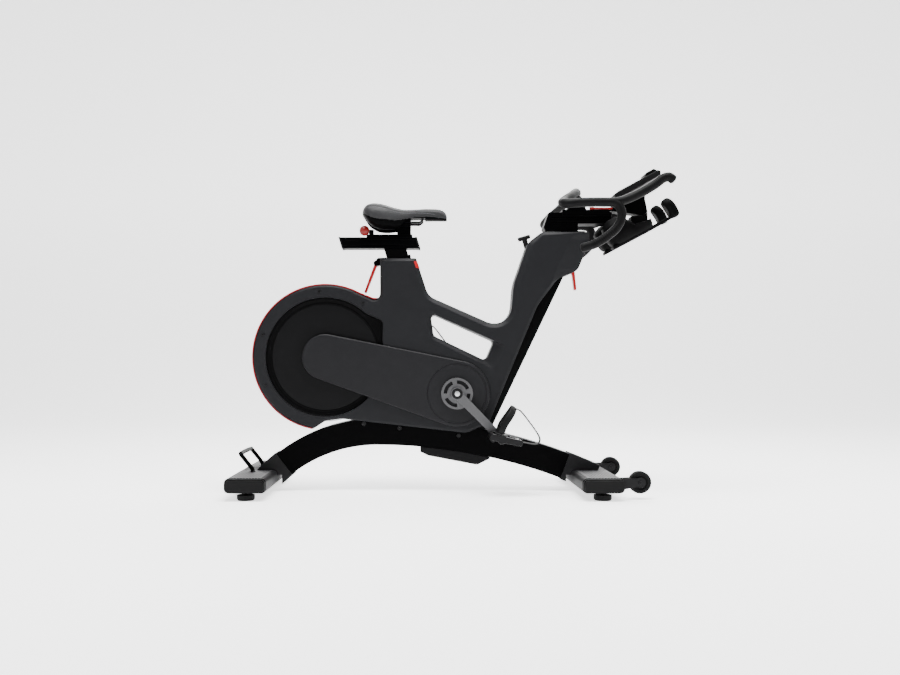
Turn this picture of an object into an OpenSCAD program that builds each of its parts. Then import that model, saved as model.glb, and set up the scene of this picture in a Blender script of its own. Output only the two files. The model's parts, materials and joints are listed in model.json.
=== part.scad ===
// Indoor cycle: arched base beam on two stabilizers, moulded body over a steel frame, rear flywheel
// with magnets beside its rim, sliding saddle and handlebar posts. +X is forward, +Y is the
// rider's left, +Z is up, and the origin is on the floor under the middle of the cycle.

/* [Base] */
// Length of each stabilizer across the floor, without its end caps
stabilizer_len = 480; // [420:1:600]
// Depth of a stabilizer from back to front
stabilizer_depth = 112; // [100:1:130]
// Height of a stabilizer
stabilizer_height = 40; // [34:1:48]
// Height of a stabilizer's underside above the floor
ground_gap = 19.5; // [18:0.5:30]
// Length of the cap on each stabilizer end
end_cap_len = 16; // [10:1:24]
// Distance from the origin back to the middle of the rear stabilizer
rear_reach = 571; // [550:1:690]
// Distance from the origin forward to the middle of the front stabilizer
front_reach = 379; // [350:1:460]
// Distance of the arch's highest point behind the origin
arch_apex_back = 230; // [200:1:240]
// Height of the arch's highest point
arch_top = 206; // [202:1:210]
// Depth of the arch beam
arch_depth = 74; // [60:1:80]
// Width of the arch beam
arch_width = 76; // [64:1:80]
// Height of the beam's top over the front stabilizer's top
front_land = 23; // [18:1:30]

/* [Feet and wheels] */
// Diameter of a levelling foot
foot_d = 48; // [36:1:56]
// Thickness of a levelling foot
foot_h = 15; // [10:1:16]
// Distance of each foot from the middle of the cycle
foot_y = 225; // [190:1:228]
// Diameter of a levelling stud
stud_d = 10; // [8:1:14]
// Diameter of a transport wheel
wheel_d = 60; // [50:1:70]
// Width of a transport wheel
wheel_w = 24; // [16:1:28]
// Distance of each wheel from the middle of the cycle
wheel_y = 200; // [150:1:215]
// Distance of the wheel axle ahead of the front stabilizer's middle
wheel_ahead = 104; // [95:1:120]
// Height of the wheel axle
wheel_z = 45; // [40:1:50]

/* [Body] */
// Half the width of the moulded body
body_half = 45; // [44.5:0.5:50]
// Wall of the moulded covers
wall = 3; // [2:0.5:3.5]
// Radius of the flywheel housing
housing_r = 206; // [202:1:212]
// Height of the flywheel axle
hub_z = 383; // [381:1:387]
// Distance of the flywheel axle behind the origin
hub_back = 378.5; // [376:0.5:384]
// Radius of the inset side dish
dish_r = 170; // [150:1:180]
// Radius of the deeper disc in the dish
disc_r = 155; // [120:1:160]

/* [Drive] */
// Radius of the flywheel
flywheel_r = 185; // [160:1:190]
// Width of the flywheel rim
rim_w = 22; // [16:1:24]
// Height of the crank spindle
crank_z = 279; // [276:1:284]
// Length of a crank from spindle to pedal axle
crank_len = 170; // [150:2.5:175]
// Angle of the right crank below level at rest
crank_angle = 45.7; // [30:0.1:60]
// Pitch of the toothed belt
belt_pitch = 5; // [4:0.5:5]
// Teeth on the crank pulley
crank_teeth = 100; // [80:1:104]
// Teeth on the flywheel pulley
flywheel_teeth = 28; // [24:1:32]
// Distance between the crank arms' middle planes
crank_spread = 138; // [138:1:150]
// Diameter of a pedal axle
pedal_axle_d = 14; // [12:1:16]
// Width of a pedal
pedal_w = 92; // [80:1:110]

/* [Seat] */
// Angle of the seat post from upright
seat_lean = 17; // [15:1:18]
// Depth of the seat post
post_depth = 62; // [50:1:64]
// Width of the seat post
post_width = 34; // [28:1:38]
// Length of the seat rail
seat_rail_len = 226; // [180:1:280]
// Height of the seat rail's section
seat_rail_h = 32; // [26:1:38]
// Length of the saddle
saddle_len = 251; // [220:1:290]
// Width of the saddle
saddle_w = 155; // [140:1:190]

/* [Handlebar] */
// Angle of the front tube and handlebar post from upright
head_lean = 25.5; // [24:0.5:27]
// Depth of the front tube
tube_depth = 62; // [58:1:64]
// Width of the front tube
tube_width = 60; // [56:1:64]
// Distance between the handlebar's two sides
bar_spread = 436; // [400:1:480]
// Diameter of the handlebar with its grip
bar_d = 25; // [22:1:28]
// Tilt of the console and bottle cradles
console_tilt = 28; // [24:1:32]
// Diameter of a bottle that a cradle holds
bottle_d = 73; // [66:1:76]

/* [Clearances] */
// Radial clearance of a running pin or axle
run_gap = 0.06; // [0.04:0.01:0.1]
// Clearance of a sliding post
slide_gap = 0.3; // [0.2:0.05:0.5]
// Clearance between a cover and what passes through it
cover_gap = 0.6; // [0.4:0.1:1]
// Gap between parts laid against each other
seam = 0.3; // [0.2:0.05:0.5]

/* [Hidden] */
$fn = 64;

BIG = 2000;

// Finishes
BODY = "#2f3034";
GUARD = "#28282a";
STEEL = "#0c0c0d";
CAST = "#26272a";
RUBBER = "#151516";
RED = "#c01810";
GREY = "#8b8c8e";
LEATHER = "#3a3b3e";

// Base levels
stab_top = ground_gap + stabilizer_height;
stab_r = 13;
cap_inset = 2;
neck_wall = 3;
rear_in = -rear_reach + stabilizer_depth / 2;
front_in = front_reach - stabilizer_depth / 2;
front_face = front_reach + stabilizer_depth / 2;

// The arch is two arcs that share a level tangent at the apex and end over the stabilizers.
rear_span = rear_reach - arch_apex_back;
front_span = front_reach + arch_apex_back;
function arc_radius(span, drop) = (span * span + drop * drop) / (2 * drop);
rear_arc_r = arc_radius(rear_span, arch_top - stab_top);
front_arc_r = arc_radius(front_span, arch_top - stab_top - front_land);
rear_end_angle = asin(rear_span / rear_arc_r) + 0.5;
front_end_angle = asin((front_span + 27) / front_arc_r);
rear_sleeve = 9;
front_sleeve = 3.4;
function arch_level(x, lift = 0) =
    let (r = (x < -arch_apex_back ? rear_arc_r : front_arc_r) + lift, d = x + arch_apex_back)
    arch_top + lift - r + sqrt(r * r - d * d);

// Wheel brackets
bracket_t = 4;
bracket_gap = 1.5;
wheel_pin_d = 10;
wheel_x = front_reach + wheel_ahead;

// Lift handle
handle_y = 85;
handle_bar_d = 12;
handle_back = 37;
handle_rise = 56;

// Moulded body
hub_x = -hub_back;
crank_x = -2.5;
guard_out = 9;
dish_step = 5;
dish_depth = 9;
dish_floor = body_half - dish_depth;
disc_wall = 3;
guard_hub_r = 65;
guard_crank_r = 94;
guard_wall = 3;
joint_back = -79;
joint_high = 480;
joint_low = 375;
joint_front = 76;
trim_t = 3;
trim_half = 41;
trim_end_angle = 260;
trim_front = -207;
trim_high = 552;

// Seat column
seat_x = -170;
seat_z = 665;
tube_wall = 3.5;
seat_tube_len = 182;
seat_strut_x = -142;
seat_strut_w = 46;
rail_bottom = 696;
rail_top = rail_bottom + seat_rail_h;
rail_half = 22;
rail_mid_x = -229.5;
lever_pin_d = 8;
seat_pivot_x = -234;
seat_pivot_z = 654;

// Saddle, measured from its tail
tail_x = -277;
nose_x = tail_x + saddle_len;
saddle_low = 766;
channel_half = 31;
channel_top = 783;
rod_d = 7;
rod_y = 22;
rod_z = 770;
rod_top = channel_top - 1.6;

// Front column
head_x = 330;
head_z = 741;
head_tube_len = 640;
bar_post_depth = tube_depth - 2 * tube_wall;
bar_post_width = tube_width - 2 * tube_wall;
bar_post_len = 320;
bush_t = 2;
bar_rail_z = 766;
bar_rail_h = 33;
bar_rail_half = 28;
bar_rail_back = 262;
bar_rail_front = 443;
bar_pivot_x = 334;
bar_pivot_z = 640;

// Brake
knob_x = 199.6;
knob_z = 708;
knob_lean = 16.5;
plunger_d = 12;
plunger_tip_d = 8;
carrier_pivot = [-182, 436];
magnet_gap = 2;

// Drive
crank_pulley_r = crank_teeth * belt_pitch / (2 * PI);
hub_pulley_r = flywheel_teeth * belt_pitch / (2 * PI);
belt_y = 39;
belt_w = 18;
belt_t = 3;
spindle_d = 24;
fly_axle_d = 17;
mount_y = 18;
mount_t = 8;
bearing_t = 12;
arm_t = 16;
arm_y = crank_spread / 2;
spider_r = 45;
right_pedal_at = [crank_x + crank_len * cos(crank_angle), crank_z - crank_len * sin(crank_angle)];
left_pedal_at = 2 * [crank_x, crank_z] - right_pedal_at;
pedal_in = arm_y + arm_t / 2 + 5;
pedal_tilt = 12;

// ---------- helpers ----------

function unit(v) = v / norm(v);
function flat(p) = [p[0], p[1]];

// Points round one corner [x, z, radius] between its neighbours.
function corner(a, b, c, n) =
    let (
        u = unit(flat(a) - flat(b)),
        v = unit(flat(c) - flat(b)),
        half = acos(u * v) / 2,
        middle = flat(b) + unit(u + v) * b[2] / sin(half),
        s = flat(b) + u * b[2] / tan(half) - middle,
        e = flat(b) + v * b[2] / tan(half) - middle,
        from = atan2(s[1], s[0]),
        turn = (atan2(e[1], e[0]) - from + 540) % 360 - 180
    )
    b[2] <= 0 ? [flat(b)] :
    [for (i = [0:n]) middle + b[2] * [cos(from + turn * i / n), sin(from + turn * i / n)]];

// Outline through corners with their own radii.
function rounded(p, n = 7) =
    let (m = len(p))
    [for (i = [0:m - 1]) each corner(p[(i + m - 1) % m], p[i], p[(i + 1) % m], n)];

// The same corners moved inwards by d, with radii to match. The corners run anticlockwise.
function shrink(p, d) =
    let (m = len(p))
    [for (i = [0:m - 1])
        let (
            e = unit(flat(p[i]) - flat(p[(i + m - 1) % m])),
            f = unit(flat(p[(i + 1) % m]) - flat(p[i])),
            k = [-e[1], e[0]],
            l = [-f[1], f[0]],
            q = flat(p[i]) + (k + l) * d / (1 + k * l),
            bend = sign(e[0] * f[1] - e[1] * f[0])
        )
        [q[0], q[1], p[i][2] <= 0 ? 0 : max(0, p[i][2] - bend * d)]];

// Outline of a belt round two circles, the first of them behind the second.
function link(a, ra, b, rb, n = 24) =
    let (
        dir = atan2(b[1] - a[1], b[0] - a[0]),
        spread = acos((ra - rb) / norm(b - a))
    )
    concat(
        [for (i = [0:n]) let (t = dir - spread + 2 * spread * i / n) b + rb * [cos(t), sin(t)]],
        [for (i = [0:n]) let (t = dir + spread + (360 - 2 * spread) * i / n)
            a + ra * [cos(t), sin(t)]]);

// A side-view outline made solid from y = a to y = b.
module side(a, b) {
    translate([0, b, 0]) rotate([90, 0, 0]) linear_extrude(b - a) children();
}

// A plan-view outline made solid from z = a to z = b.
module plan(a, b) {
    translate([0, 0, a]) linear_extrude(b - a) children();
}

// Rod across the cycle from y = a to y = b.
module cross_rod(x, z, d, a, b) {
    translate([x, b, z]) rotate([90, 0, 0]) cylinder(d = d, h = b - a);
}

module both() {
    children();
    mirror([0, 1, 0]) children();
}

// Block between two opposite corners.
module block(a, b) {
    translate(a) cube(b - a);
}

// Frames along a post: local z runs up the post, local x points forward.
module on_seat_post() {
    translate([seat_x, 0, seat_z]) rotate([0, -seat_lean, 0]) children();
}

module on_bar_post() {
    translate([head_x, 0, head_z]) rotate([0, head_lean, 0]) children();
}

module on_knob() {
    translate([knob_x, 0, knob_z]) rotate([0, -knob_lean, 0]) children();
}

module post_box(depth, width, a, b) {
    translate([-depth / 2, -width / 2, a]) cube([depth, width, b - a]);
}

// Smooth path through points, with a few steps between each pair.
function blend_at(p, i, t) =
    let (
        m = len(p) - 1,
        a = p[max(i - 1, 0)],
        b = p[i],
        c = p[min(i + 1, m)],
        d = p[min(i + 2, m)]
    )
    0.5 * (2 * b + (c - a) * t + (2 * a - 5 * b + 4 * c - d) * t * t
        + (3 * b - a - 3 * c + d) * t * t * t);
function smooth(p, steps = 4) =
    concat([for (i = [0:len(p) - 2]) for (k = [0:steps - 1]) blend_at(p, i, k / steps)],
        [p[len(p) - 1]]);

function heading(p, i) = unit(p[min(i + 1, len(p) - 1)] - p[max(i - 1, 0)]);
function carried(p, i, v) =
    i >= len(p) ? [] :
    let (t = heading(p, i), w = unit(v - (v * t) * t))
    concat([w], carried(p, i + 1, w));

// Tube or band along a path: an ellipse of half sizes a (along the first normal) and b.
module sweep(path, a, b, normal, sides = 12) {
    n = len(path);
    w = carried(path, 0, normal);
    points = [for (i = [0:n - 1]) for (k = [0:sides - 1])
        path[i] + a * cos(360 * k / sides) * w[i]
            + b * sin(360 * k / sides) * cross(heading(path, i), w[i])];
    walls = [for (i = [0:n - 2]) for (k = [0:sides - 1])
        let (k2 = (k + 1) % sides)
        [i * sides + k, (i + 1) * sides + k, (i + 1) * sides + k2, i * sides + k2]];
    start = [for (k = [0:sides - 1]) k];
    end = [for (k = [sides - 1:-1:0]) (n - 1) * sides + k];
    polyhedron(points, concat(walls, [start, end]), convexity = 8);
}

function flip_y(p) = [for (q = p) [q[0], -q[1], q[2]]];

// ---------- base ----------

// Band of one arc in side view, from angle a to angle b off the apex; grow widens both edges.
module arc_part(r, grow, a, b) {
    translate([-arch_apex_back, arch_top - r]) intersection() {
        difference() {
            circle(r = r + grow, $fn = 240);
            circle(r = r - arch_depth - grow, $fn = 240);
        }
        polygon([[0, 0], 2 * r * [sin(a), cos(a)], 2 * r * [sin(b), cos(b)]]);
    }
}

module stab_section(x, d) {
    h = stabilizer_height / 2;
    w = stabilizer_depth / 2;
    translate([x, ground_gap + h])
        polygon(rounded(shrink([[-w, -h, stab_r], [w, -h, stab_r], [w, h, stab_r],
            [-w, h, stab_r]], d)));
}

module stab_zone(x, grow = 0) {
    side(-stabilizer_len / 2 - grow, stabilizer_len / 2 + grow) stab_section(x, -grow);
}

module arch_envelope(grow = 0) {
    side(-arch_width / 2 - grow, arch_width / 2 + grow) {
        arc_part(rear_arc_r, grow, -rear_end_angle, 0);
        arc_part(front_arc_r, grow, 0, front_end_angle);
    }
}

module arch_beam() {
    color(STEEL) difference() {
        arch_envelope();
        stab_zone(-rear_reach);
        stab_zone(front_reach);
        block([-BIG, -BIG, -BIG], [rear_in + stab_r, BIG, stab_top - stab_r]);
        block([front_in - stab_r, -BIG, -BIG], [BIG, BIG, stab_top - stab_r]);
        for (p = bolt_places)
            both() cross_rod(p[0], p[1], bolt_d + 2 * run_gap, arch_width / 2 - bolt_depth, BIG);
    }
}

// Cast collars that wrap the beam where it lands on each stabilizer.
module arch_sleeves() {
    color(CAST) difference() {
        side(-arch_width / 2 - neck_wall, arch_width / 2 + neck_wall) {
            arc_part(rear_arc_r, neck_wall, -rear_end_angle, rear_sleeve - rear_end_angle);
            arc_part(front_arc_r, neck_wall, front_end_angle - front_sleeve, front_end_angle);
        }
        arch_envelope(seam);
        stab_zone(-rear_reach, seam);
        stab_zone(front_reach, seam);
        block([-BIG, -BIG, -BIG], [rear_in + stab_r, BIG, stab_top - stab_r]);
        block([front_in - stab_r, -BIG, -BIG], [BIG, BIG, stab_top - stab_r]);
    }
}

module stabilizer(x) {
    difference() {
        side(-stabilizer_len / 2, stabilizer_len / 2) stab_section(x, 0);
        both() translate([x, foot_y, -1])
            cylinder(d = stud_d + 2 * run_gap, h = ground_gap + stud_reach + 3);
        block([x - tread_depth / 2 - seam, -stabilizer_len / 2 - 1, stab_top - tread_sink],
            [x + tread_depth / 2 + seam, -tread_in, BIG]);
        mirror([0, 1, 0]) block(
            [x - tread_depth / 2 - seam, -stabilizer_len / 2 - 1, stab_top - tread_sink],
            [x + tread_depth / 2 + seam, -tread_in, BIG]);
    }
}

stud_reach = 26;
tread_depth = 84;
tread_sink = 4;
tread_in = arch_width / 2 + neck_wall + 6;

module rear_stabilizer() {
    color(CAST) difference() {
        stabilizer(-rear_reach);
        both() translate([-rear_reach - 8, handle_y, stab_top - tread_sink - 8])
            cylinder(d = handle_bar_d + 2 * seam, h = 30);
    }
}

// The wheel brackets are welded to the front stabilizer.
module wheel_fork() {
    inner = wheel_w / 2 + bracket_gap;
    for (a = [-inner - bracket_t, inner]) {
        side(wheel_y + a, wheel_y + a + bracket_t) {
            difference() {
                union() {
                    translate([wheel_x, wheel_z]) circle(r = 13);
                    polygon([[front_face - 8, stab_top - 4], [front_face - 8, ground_gap + 6],
                        [wheel_x - 6, wheel_z - 11], [wheel_x + 4, wheel_z + 12]]);
                }
            }
        }
    }
    cross_rod(wheel_x, wheel_z, wheel_pin_d, wheel_y - inner - bracket_t - 3,
        wheel_y + inner + bracket_t + 4);
}

module front_stabilizer() {
    color(CAST) {
        stabilizer(front_reach);
        both() difference() {
            wheel_fork();
            side(0, BIG) stab_section(front_reach, 6);
        }
    }
}

module end_cap(x) {
    start = stabilizer_len / 2;
    side(start, start + end_cap_len - 5) stab_section(x, cap_inset);
    side(start + end_cap_len - 5, start + end_cap_len) stab_section(x, cap_inset + 3);
}

module end_caps() {
    color(RUBBER) both() {
        end_cap(-rear_reach);
        end_cap(front_reach);
    }
}

// Ribbed plates let into the stabilizers' tops, cut round the lift handle's feet.
module tread(x) {
    top = stab_top + 1;
    difference() {
        block([x - tread_depth / 2, tread_in + seam, stab_top - tread_sink + 0.01],
            [x + tread_depth / 2, stabilizer_len / 2, top]);
        for (k = [0:8])
            block([x - 32 + k * 8, tread_in - 1, top - 1], [x - 29 + k * 8, BIG, top + 1]);
    }
}

module tread_plates() {
    color(GREY) both() {
        difference() {
            tread(-rear_reach);
            translate([-rear_reach - 8, handle_y, 0])
                cylinder(d = handle_bar_d + 2 * seam + 10, h = BIG);
        }
        tread(front_reach);
    }
}

module lift_handle() {
    x = -rear_reach - 8;
    foot = [x, handle_y, stab_top - tread_sink - 7];
    neck = [x, handle_y, stab_top - 1];
    low = [x - 1, handle_y, stab_top + 10];
    bend = [x - handle_back + 8, handle_y, stab_top + handle_rise - 10];
    top = [x - handle_back + 4, handle_y - 16, stab_top + handle_rise - 4];
    half = [foot, neck, low, bend, top];
    path = smooth(concat(half, flip_y(reversed(half))), 3);
    color(STEEL) {
        sweep(path, handle_bar_d / 2, handle_bar_d / 2, [1, 0, 0], 12);
    }
}

// ---------- steel frame ----------

module front_tube_envelope(grow = 0) {
    difference() {
        on_bar_post() post_box(tube_depth + 2 * grow, tube_width + 2 * grow, -head_tube_len, 40);
        block([-BIG, -BIG, head_z + 1], [BIG, BIG, BIG]);
    }
}

module front_tube() {
    bore = bar_post_len + 12;
    color(STEEL) difference() {
        union() {
            difference() {
                front_tube_envelope();
                on_bar_post() post_box(bar_post_depth, bar_post_width, -bore, 50);
                arch_envelope(seam);
                block([-BIG, -BIG, -BIG], [BIG, BIG, arch_top - arch_depth]);
                bar_lever_space();
            }
            // Boss that guides the brake plunger
            difference() {
                on_knob() {
                    translate([0, 0, -74]) cylinder(d = plunger_d + 10, h = 36);
                    block([0, -8, -70], [60, 8, -44]);
                }
                front_tube_envelope(-0.5);
            }
            // Ears for the height lever
            both() side(11, 15) difference() {
                union() {
                    translate([bar_pivot_x, bar_pivot_z]) circle(r = 9);
                    polygon([[bar_pivot_x - 28, bar_pivot_z + 22], [bar_pivot_x - 28, bar_pivot_z - 4],
                        [bar_pivot_x, bar_pivot_z - 9], [bar_pivot_x, bar_pivot_z + 9]]);
                }
            }
            cross_rod(bar_pivot_x, bar_pivot_z, lever_pin_d, -15, 15);
        }
        on_knob() translate([0, 0, -90]) cylinder(d = plunger_d + 2 * run_gap, h = 90);
        on_bar_post() post_box(bar_post_depth, bar_post_width, -bore, -20);
    }
}

module seat_tube_envelope(grow = 0) {
    on_seat_post() post_box(post_depth + 2 * tube_wall + 2 * grow,
        post_width + 2 * tube_wall + 2 * grow, -seat_tube_len, -4);
}

// Leaning tube on an upright strut that stands on the arch.
module seat_tube() {
    half = post_width / 2 + tube_wall - 2;
    color(STEEL) difference() {
        union() {
            seat_tube_envelope();
            block([seat_strut_x - seat_strut_w / 2, -half, arch_top - 30],
                [seat_strut_x + seat_strut_w / 2, half, seat_z - seat_tube_len + 40]);
            side(-12, 12) polygon([[carrier_pivot[0], carrier_pivot[1] + 7],
                [carrier_pivot[0], carrier_pivot[1] - 7], [seat_strut_x, carrier_pivot[1] - 40],
                [seat_strut_x, carrier_pivot[1] + 20]]);
            cross_rod(carrier_pivot[0], carrier_pivot[1], 20, -12, 12);
            cross_rod(carrier_pivot[0], carrier_pivot[1], lever_pin_d, -27, 27);
        }
        on_seat_post() post_box(post_depth + 2 * slide_gap + 2, post_width + 2 * slide_gap + 2,
            -seat_tube_len + 5, 10);
        arch_envelope(seam);
    }
}

// Tube between the seat tube and the front tube, inside the body's upper beam.
module top_tube() {
    a = [-92, 532];
    b = [196, 406];
    color(STEEL) difference() {
        side(-16, 16) polygon([a + [0, 13], a - [0, 11], b - [0, 11], b + [0, 13]]);
        seat_tube_envelope(seam);
        front_tube_envelope(seam);
    }
}

// Shell that carries the crank bearings, on a pedestal from the arch.
module bottom_bracket() {
    color(STEEL) difference() {
        union() {
            cross_rod(crank_x, crank_z, 64, -24, 36);
            block([crank_x - 28, -20, arch_top - 40], [crank_x + 24, 20, crank_z]);
            side(-14, 14) polygon([[crank_x, crank_z + 16], [crank_x, crank_z - 16],
                [crank_x + 110, crank_z - 16], [crank_x + 110, crank_z + 16]]);
        }
        cross_rod(crank_x, crank_z, spindle_d + 6, -BIG, BIG);
        cross_rod(crank_x, crank_z, 47, -BIG, -24 + bearing_t);
        cross_rod(crank_x, crank_z, 47, 36 - bearing_t, BIG);
        arch_envelope(seam);
        front_tube_envelope(seam);
    }
}

module bearing(x, z, outer, bore, a, b) {
    difference() {
        cross_rod(x, z, outer, a, b);
        cross_rod(x, z, bore + 2 * run_gap, a - 1, b + 1);
    }
}

module bearings() {
    color(GREY) {
        bearing(crank_x, crank_z, 46.9, spindle_d, -24, -24 + bearing_t);
        bearing(crank_x, crank_z, 46.9, spindle_d, 36 - bearing_t, 36);
        both() bearing(hub_x, hub_z, 39.9, fly_axle_d, mount_y, mount_y + mount_t);
    }
}

// Two plates from the arch up to the flywheel axle.
module flywheel_mounts() {
    foot_front = -212;
    foot_back = -262;
    color(STEEL) difference() {
        both() side(mount_y, mount_y + mount_t) difference() {
            union() {
                translate([hub_x, hub_z]) circle(r = 32);
                polygon([[hub_x - 22, hub_z - 23], [foot_back, arch_top - 20],
                    [foot_front, arch_top - 20], [foot_front, arch_top + 24],
                    [hub_x + 23, hub_z + 22]]);
            }
        }
        cross_rod(hub_x, hub_z, 40, -BIG, BIG);
        arch_envelope(seam);
    }
}

// ---------- moulded body ----------

// Corners of the body in side view, anticlockwise from under the flywheel.
BODY_CORNERS = [
    [-400, 214, 0], [-335, 207, 0], [26, 166, 46], [90, 196, 14], [229, 532, 130],
    [287, 607, 40], [345, 632, 30], [379, 716, 15], [375, head_z, 6], [241, head_z, 26],
    [202, 711, 40], [160, 590, 130], [149, 455, 50], [-84, 558, 44], [-119, seat_z + 1, 0],
    [-222, seat_z + 1, 0], [-222, 541, 16], [-290, 568, 0], [hub_x, hub_z + 100, 0],
    [hub_x - 90, hub_z, 0]
];
WINDOW = [[-69, 444, 14], [81, 372, 14], [104, 427, 10], [-78, 510, 10]];
DISH_EXTRA = [
    [hub_x, hub_z - 166, 0], [-318, 228, 40], [-218, 330, 40], [-213, 486, 14],
    [-338, 541, 20], [hub_x, hub_z + 100, 0]
];
DISC_EXTRA = [
    [hub_x, hub_z - 151, 0], [-348, 250, 20], [-300, 330, 60], [-260, 487, 10],
    [-323, 525, 20], [hub_x, hub_z + 100, 0]
];

module body_outline(d) {
    difference() {
        union() {
            translate([hub_x, hub_z]) circle(r = housing_r - d, $fn = 180);
            polygon(rounded(shrink(BODY_CORNERS, d)));
        }
        polygon([[-BIG, -BIG], [-335, -BIG], [-335, 207 + d], [hub_x, 200 + d],
            [-430, 150 + d], [-BIG, 150 + d]]);
    }
}

module dish_outline(d) {
    translate([hub_x, hub_z]) circle(r = dish_r - d, $fn = 180);
    polygon(rounded(shrink(DISH_EXTRA, d)));
}

module disc_outline(d) {
    translate([hub_x, hub_z]) circle(r = disc_r - d, $fn = 180);
    polygon(rounded(shrink(DISC_EXTRA, d)));
}

module guard_outline(d) {
    polygon(link([hub_x, hub_z], guard_hub_r - d, [crank_x, crank_z], guard_crank_r - d));
}

// Left half of the body; the right half is its mirror image with a larger guard opening.
module half_shell() {
    difference() {
        side(seam / 2, body_half) difference() {
            body_outline(0);
            polygon(rounded(WINDOW));
        }
        difference() {
            side(-1, body_half - wall) body_outline(wall);
            side(-2, body_half) polygon(rounded(shrink(WINDOW, -wall)));
        }
        side(-1, BIG) dish_outline(0);
        cross_rod(hub_x, hub_z, 2 * (flywheel_r + 3), -1, rim_w / 2 + 3);
        arch_envelope(cover_gap);
        block([-BIG, -arch_width / 2 - cover_gap, -BIG],
            [BIG, arch_width / 2 + cover_gap, arch_top - 30]);
        front_tube_envelope(cover_gap);
        seat_opening();
        knob_opening();
        bar_lever_space();
        block([240, -tube_width / 2 - cover_gap, head_z - wall - 1],
            [372, tube_width / 2 + cover_gap, BIG]);
    }
}

module seat_opening() {
    on_seat_post() post_box(post_depth + 2 * tube_wall + 2 * cover_gap + 6,
        post_width + 2 * tube_wall + 2 * cover_gap + 6, -30, 40);
    block([-BIG, -18, seat_z - 28], [-206, 18, BIG]);
}

module knob_opening() {
    on_knob() translate([0, 0, -30]) cylinder(d = 22, h = 60);
}

module bar_lever_space() {
    difference() {
        block([bar_pivot_x - 14, -16, bar_pivot_z - 60], [bar_pivot_x + 40, 16, bar_pivot_z + 12]);
        front_tube_envelope(1);
    }
}

// Everything in front of the joint between a half's two panels, which crosses the window.
module front_panel_zone(grow) {
    side(-BIG, BIG) polygon([[joint_back - grow, BIG], [joint_back - grow, joint_high],
        [joint_front - grow, joint_low], [joint_front - grow, -BIG], [BIG, -BIG], [BIG, BIG]]);
}

module right_half() {
    difference() {
        mirror([0, 1, 0]) half_shell();
        side(-BIG, 0) guard_outline(-seam);
    }
}

module left_half() {
    difference() {
        half_shell();
        cross_rod(crank_x, crank_z, 2 * cover_r + 2 * seam, 0, BIG);
    }
}

module right_shell() {
    color(BODY) difference() {
        right_half();
        front_panel_zone(seam);
    }
}

module right_front_shell() {
    color(BODY) intersection() {
        right_half();
        front_panel_zone(0);
    }
}

module left_shell() {
    color(BODY) difference() {
        left_half();
        front_panel_zone(seam);
    }
}

module left_front_shell() {
    color(BODY) intersection() {
        left_half();
        front_panel_zone(0);
    }
}

cover_r = 60;

// Inset side panels of the flywheel housing.
module dish() {
    difference() {
        side(dish_floor - disc_wall, body_half - 2) dish_outline(seam);
        side(body_half - dish_step, BIG) dish_outline(seam + disc_wall);
        side(dish_floor, BIG) disc_outline(0);
    }
}

module side_dishes() {
    color(GUARD) {
        dish();
        difference() {
            mirror([0, 1, 0]) dish();
            side(-dish_floor + 0.01, 0) guard_outline(guard_wall);
            side(-BIG, -dish_floor + 0.01) guard_outline(-seam);
        }
    }
}

module belt_guard() {
    outer = body_half + guard_out;
    color(GUARD) difference() {
        side(-outer, -dish_floor - seam) guard_outline(0);
        side(-outer + guard_wall, 0) guard_outline(guard_wall);
        cross_rod(crank_x, crank_z, spindle_d + 3, -BIG, 0);
        arch_envelope(cover_gap);
    }
}

// Round cover over the left end of the crank spindle.
module left_cover() {
    color(GUARD) difference() {
        cross_rod(crank_x, crank_z, 2 * cover_r, body_half - wall, body_half + 4);
        cross_rod(crank_x, crank_z, 2 * cover_r - 8, 0, body_half + 1);
        cross_rod(crank_x, crank_z, spindle_d + 3, 0, BIG);
    }
}

// Red band round the outer edge of the flywheel housing, from the seat column to the arch.
module rim_trim() {
    last = [cos(trim_end_angle), sin(trim_end_angle)] * BIG;
    color(RED) side(-trim_half, trim_half) intersection() {
        difference() {
            body_outline(-trim_t - seam);
            body_outline(-seam);
        }
        polygon([[hub_x, hub_z], [trim_front, hub_z], [trim_front, trim_high],
            [trim_front - 28, trim_high], [trim_front - 28, BIG], [-BIG, BIG],
            [-BIG, hub_z - BIG], [hub_x, hub_z] + last]);
    }
}

module belly_cover() {
    bottom = [[-107, 112, 0], [-85, 101, 8], [56, 74, 14], [92, 92, 0], [92, 130, 0],
        [-107, 150, 0]];
    color(GUARD) difference() {
        side(-arch_width / 2 + 2, arch_width / 2 - 2) polygon(rounded(bottom));
        arch_envelope(seam);
        block([-BIG, -BIG, arch_top - arch_depth], [BIG, BIG, BIG]);
    }
}

// Bush and flange at the mouth of the seat tube, with ears for the height lever.
module seat_collar() {
    out_d = post_depth + 2 * tube_wall + 4;
    out_w = post_width + 2 * tube_wall + 4;
    difference() {
        union() {
            on_seat_post() {
                post_box(post_depth + 1.5 + 2 * slide_gap, post_width + 1.5 + 2 * slide_gap, -50, 0);
                post_box(out_d, out_w, -4 + seam, 3);
            }
            both() side(11, 15) {
                translate([seat_pivot_x, seat_pivot_z]) circle(r = 8);
                polygon([[seat_pivot_x - 7, seat_pivot_z], [seat_pivot_x + 6, seat_pivot_z - 6],
                    [-198, seat_z - 4], [-198, seat_z + 6], [seat_pivot_x + 4, seat_z + 4]]);
            }
            cross_rod(seat_pivot_x, seat_pivot_z, lever_pin_d, -15, 15);
        }
        on_seat_post() post_box(post_depth + 2 * slide_gap, post_width + 2 * slide_gap, -60, 40);
        difference() {
            on_seat_post() post_box(out_d + 100, out_w - 4 - 2 * seam, -60, -4 + seam);
            on_seat_post() post_box(post_depth + 1.5 + 2 * slide_gap,
                post_width + 1.5 + 2 * slide_gap, -70, 0);
            block([-BIG, -20, 0], [-203, 20, BIG]);
        }
    }
}

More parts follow.
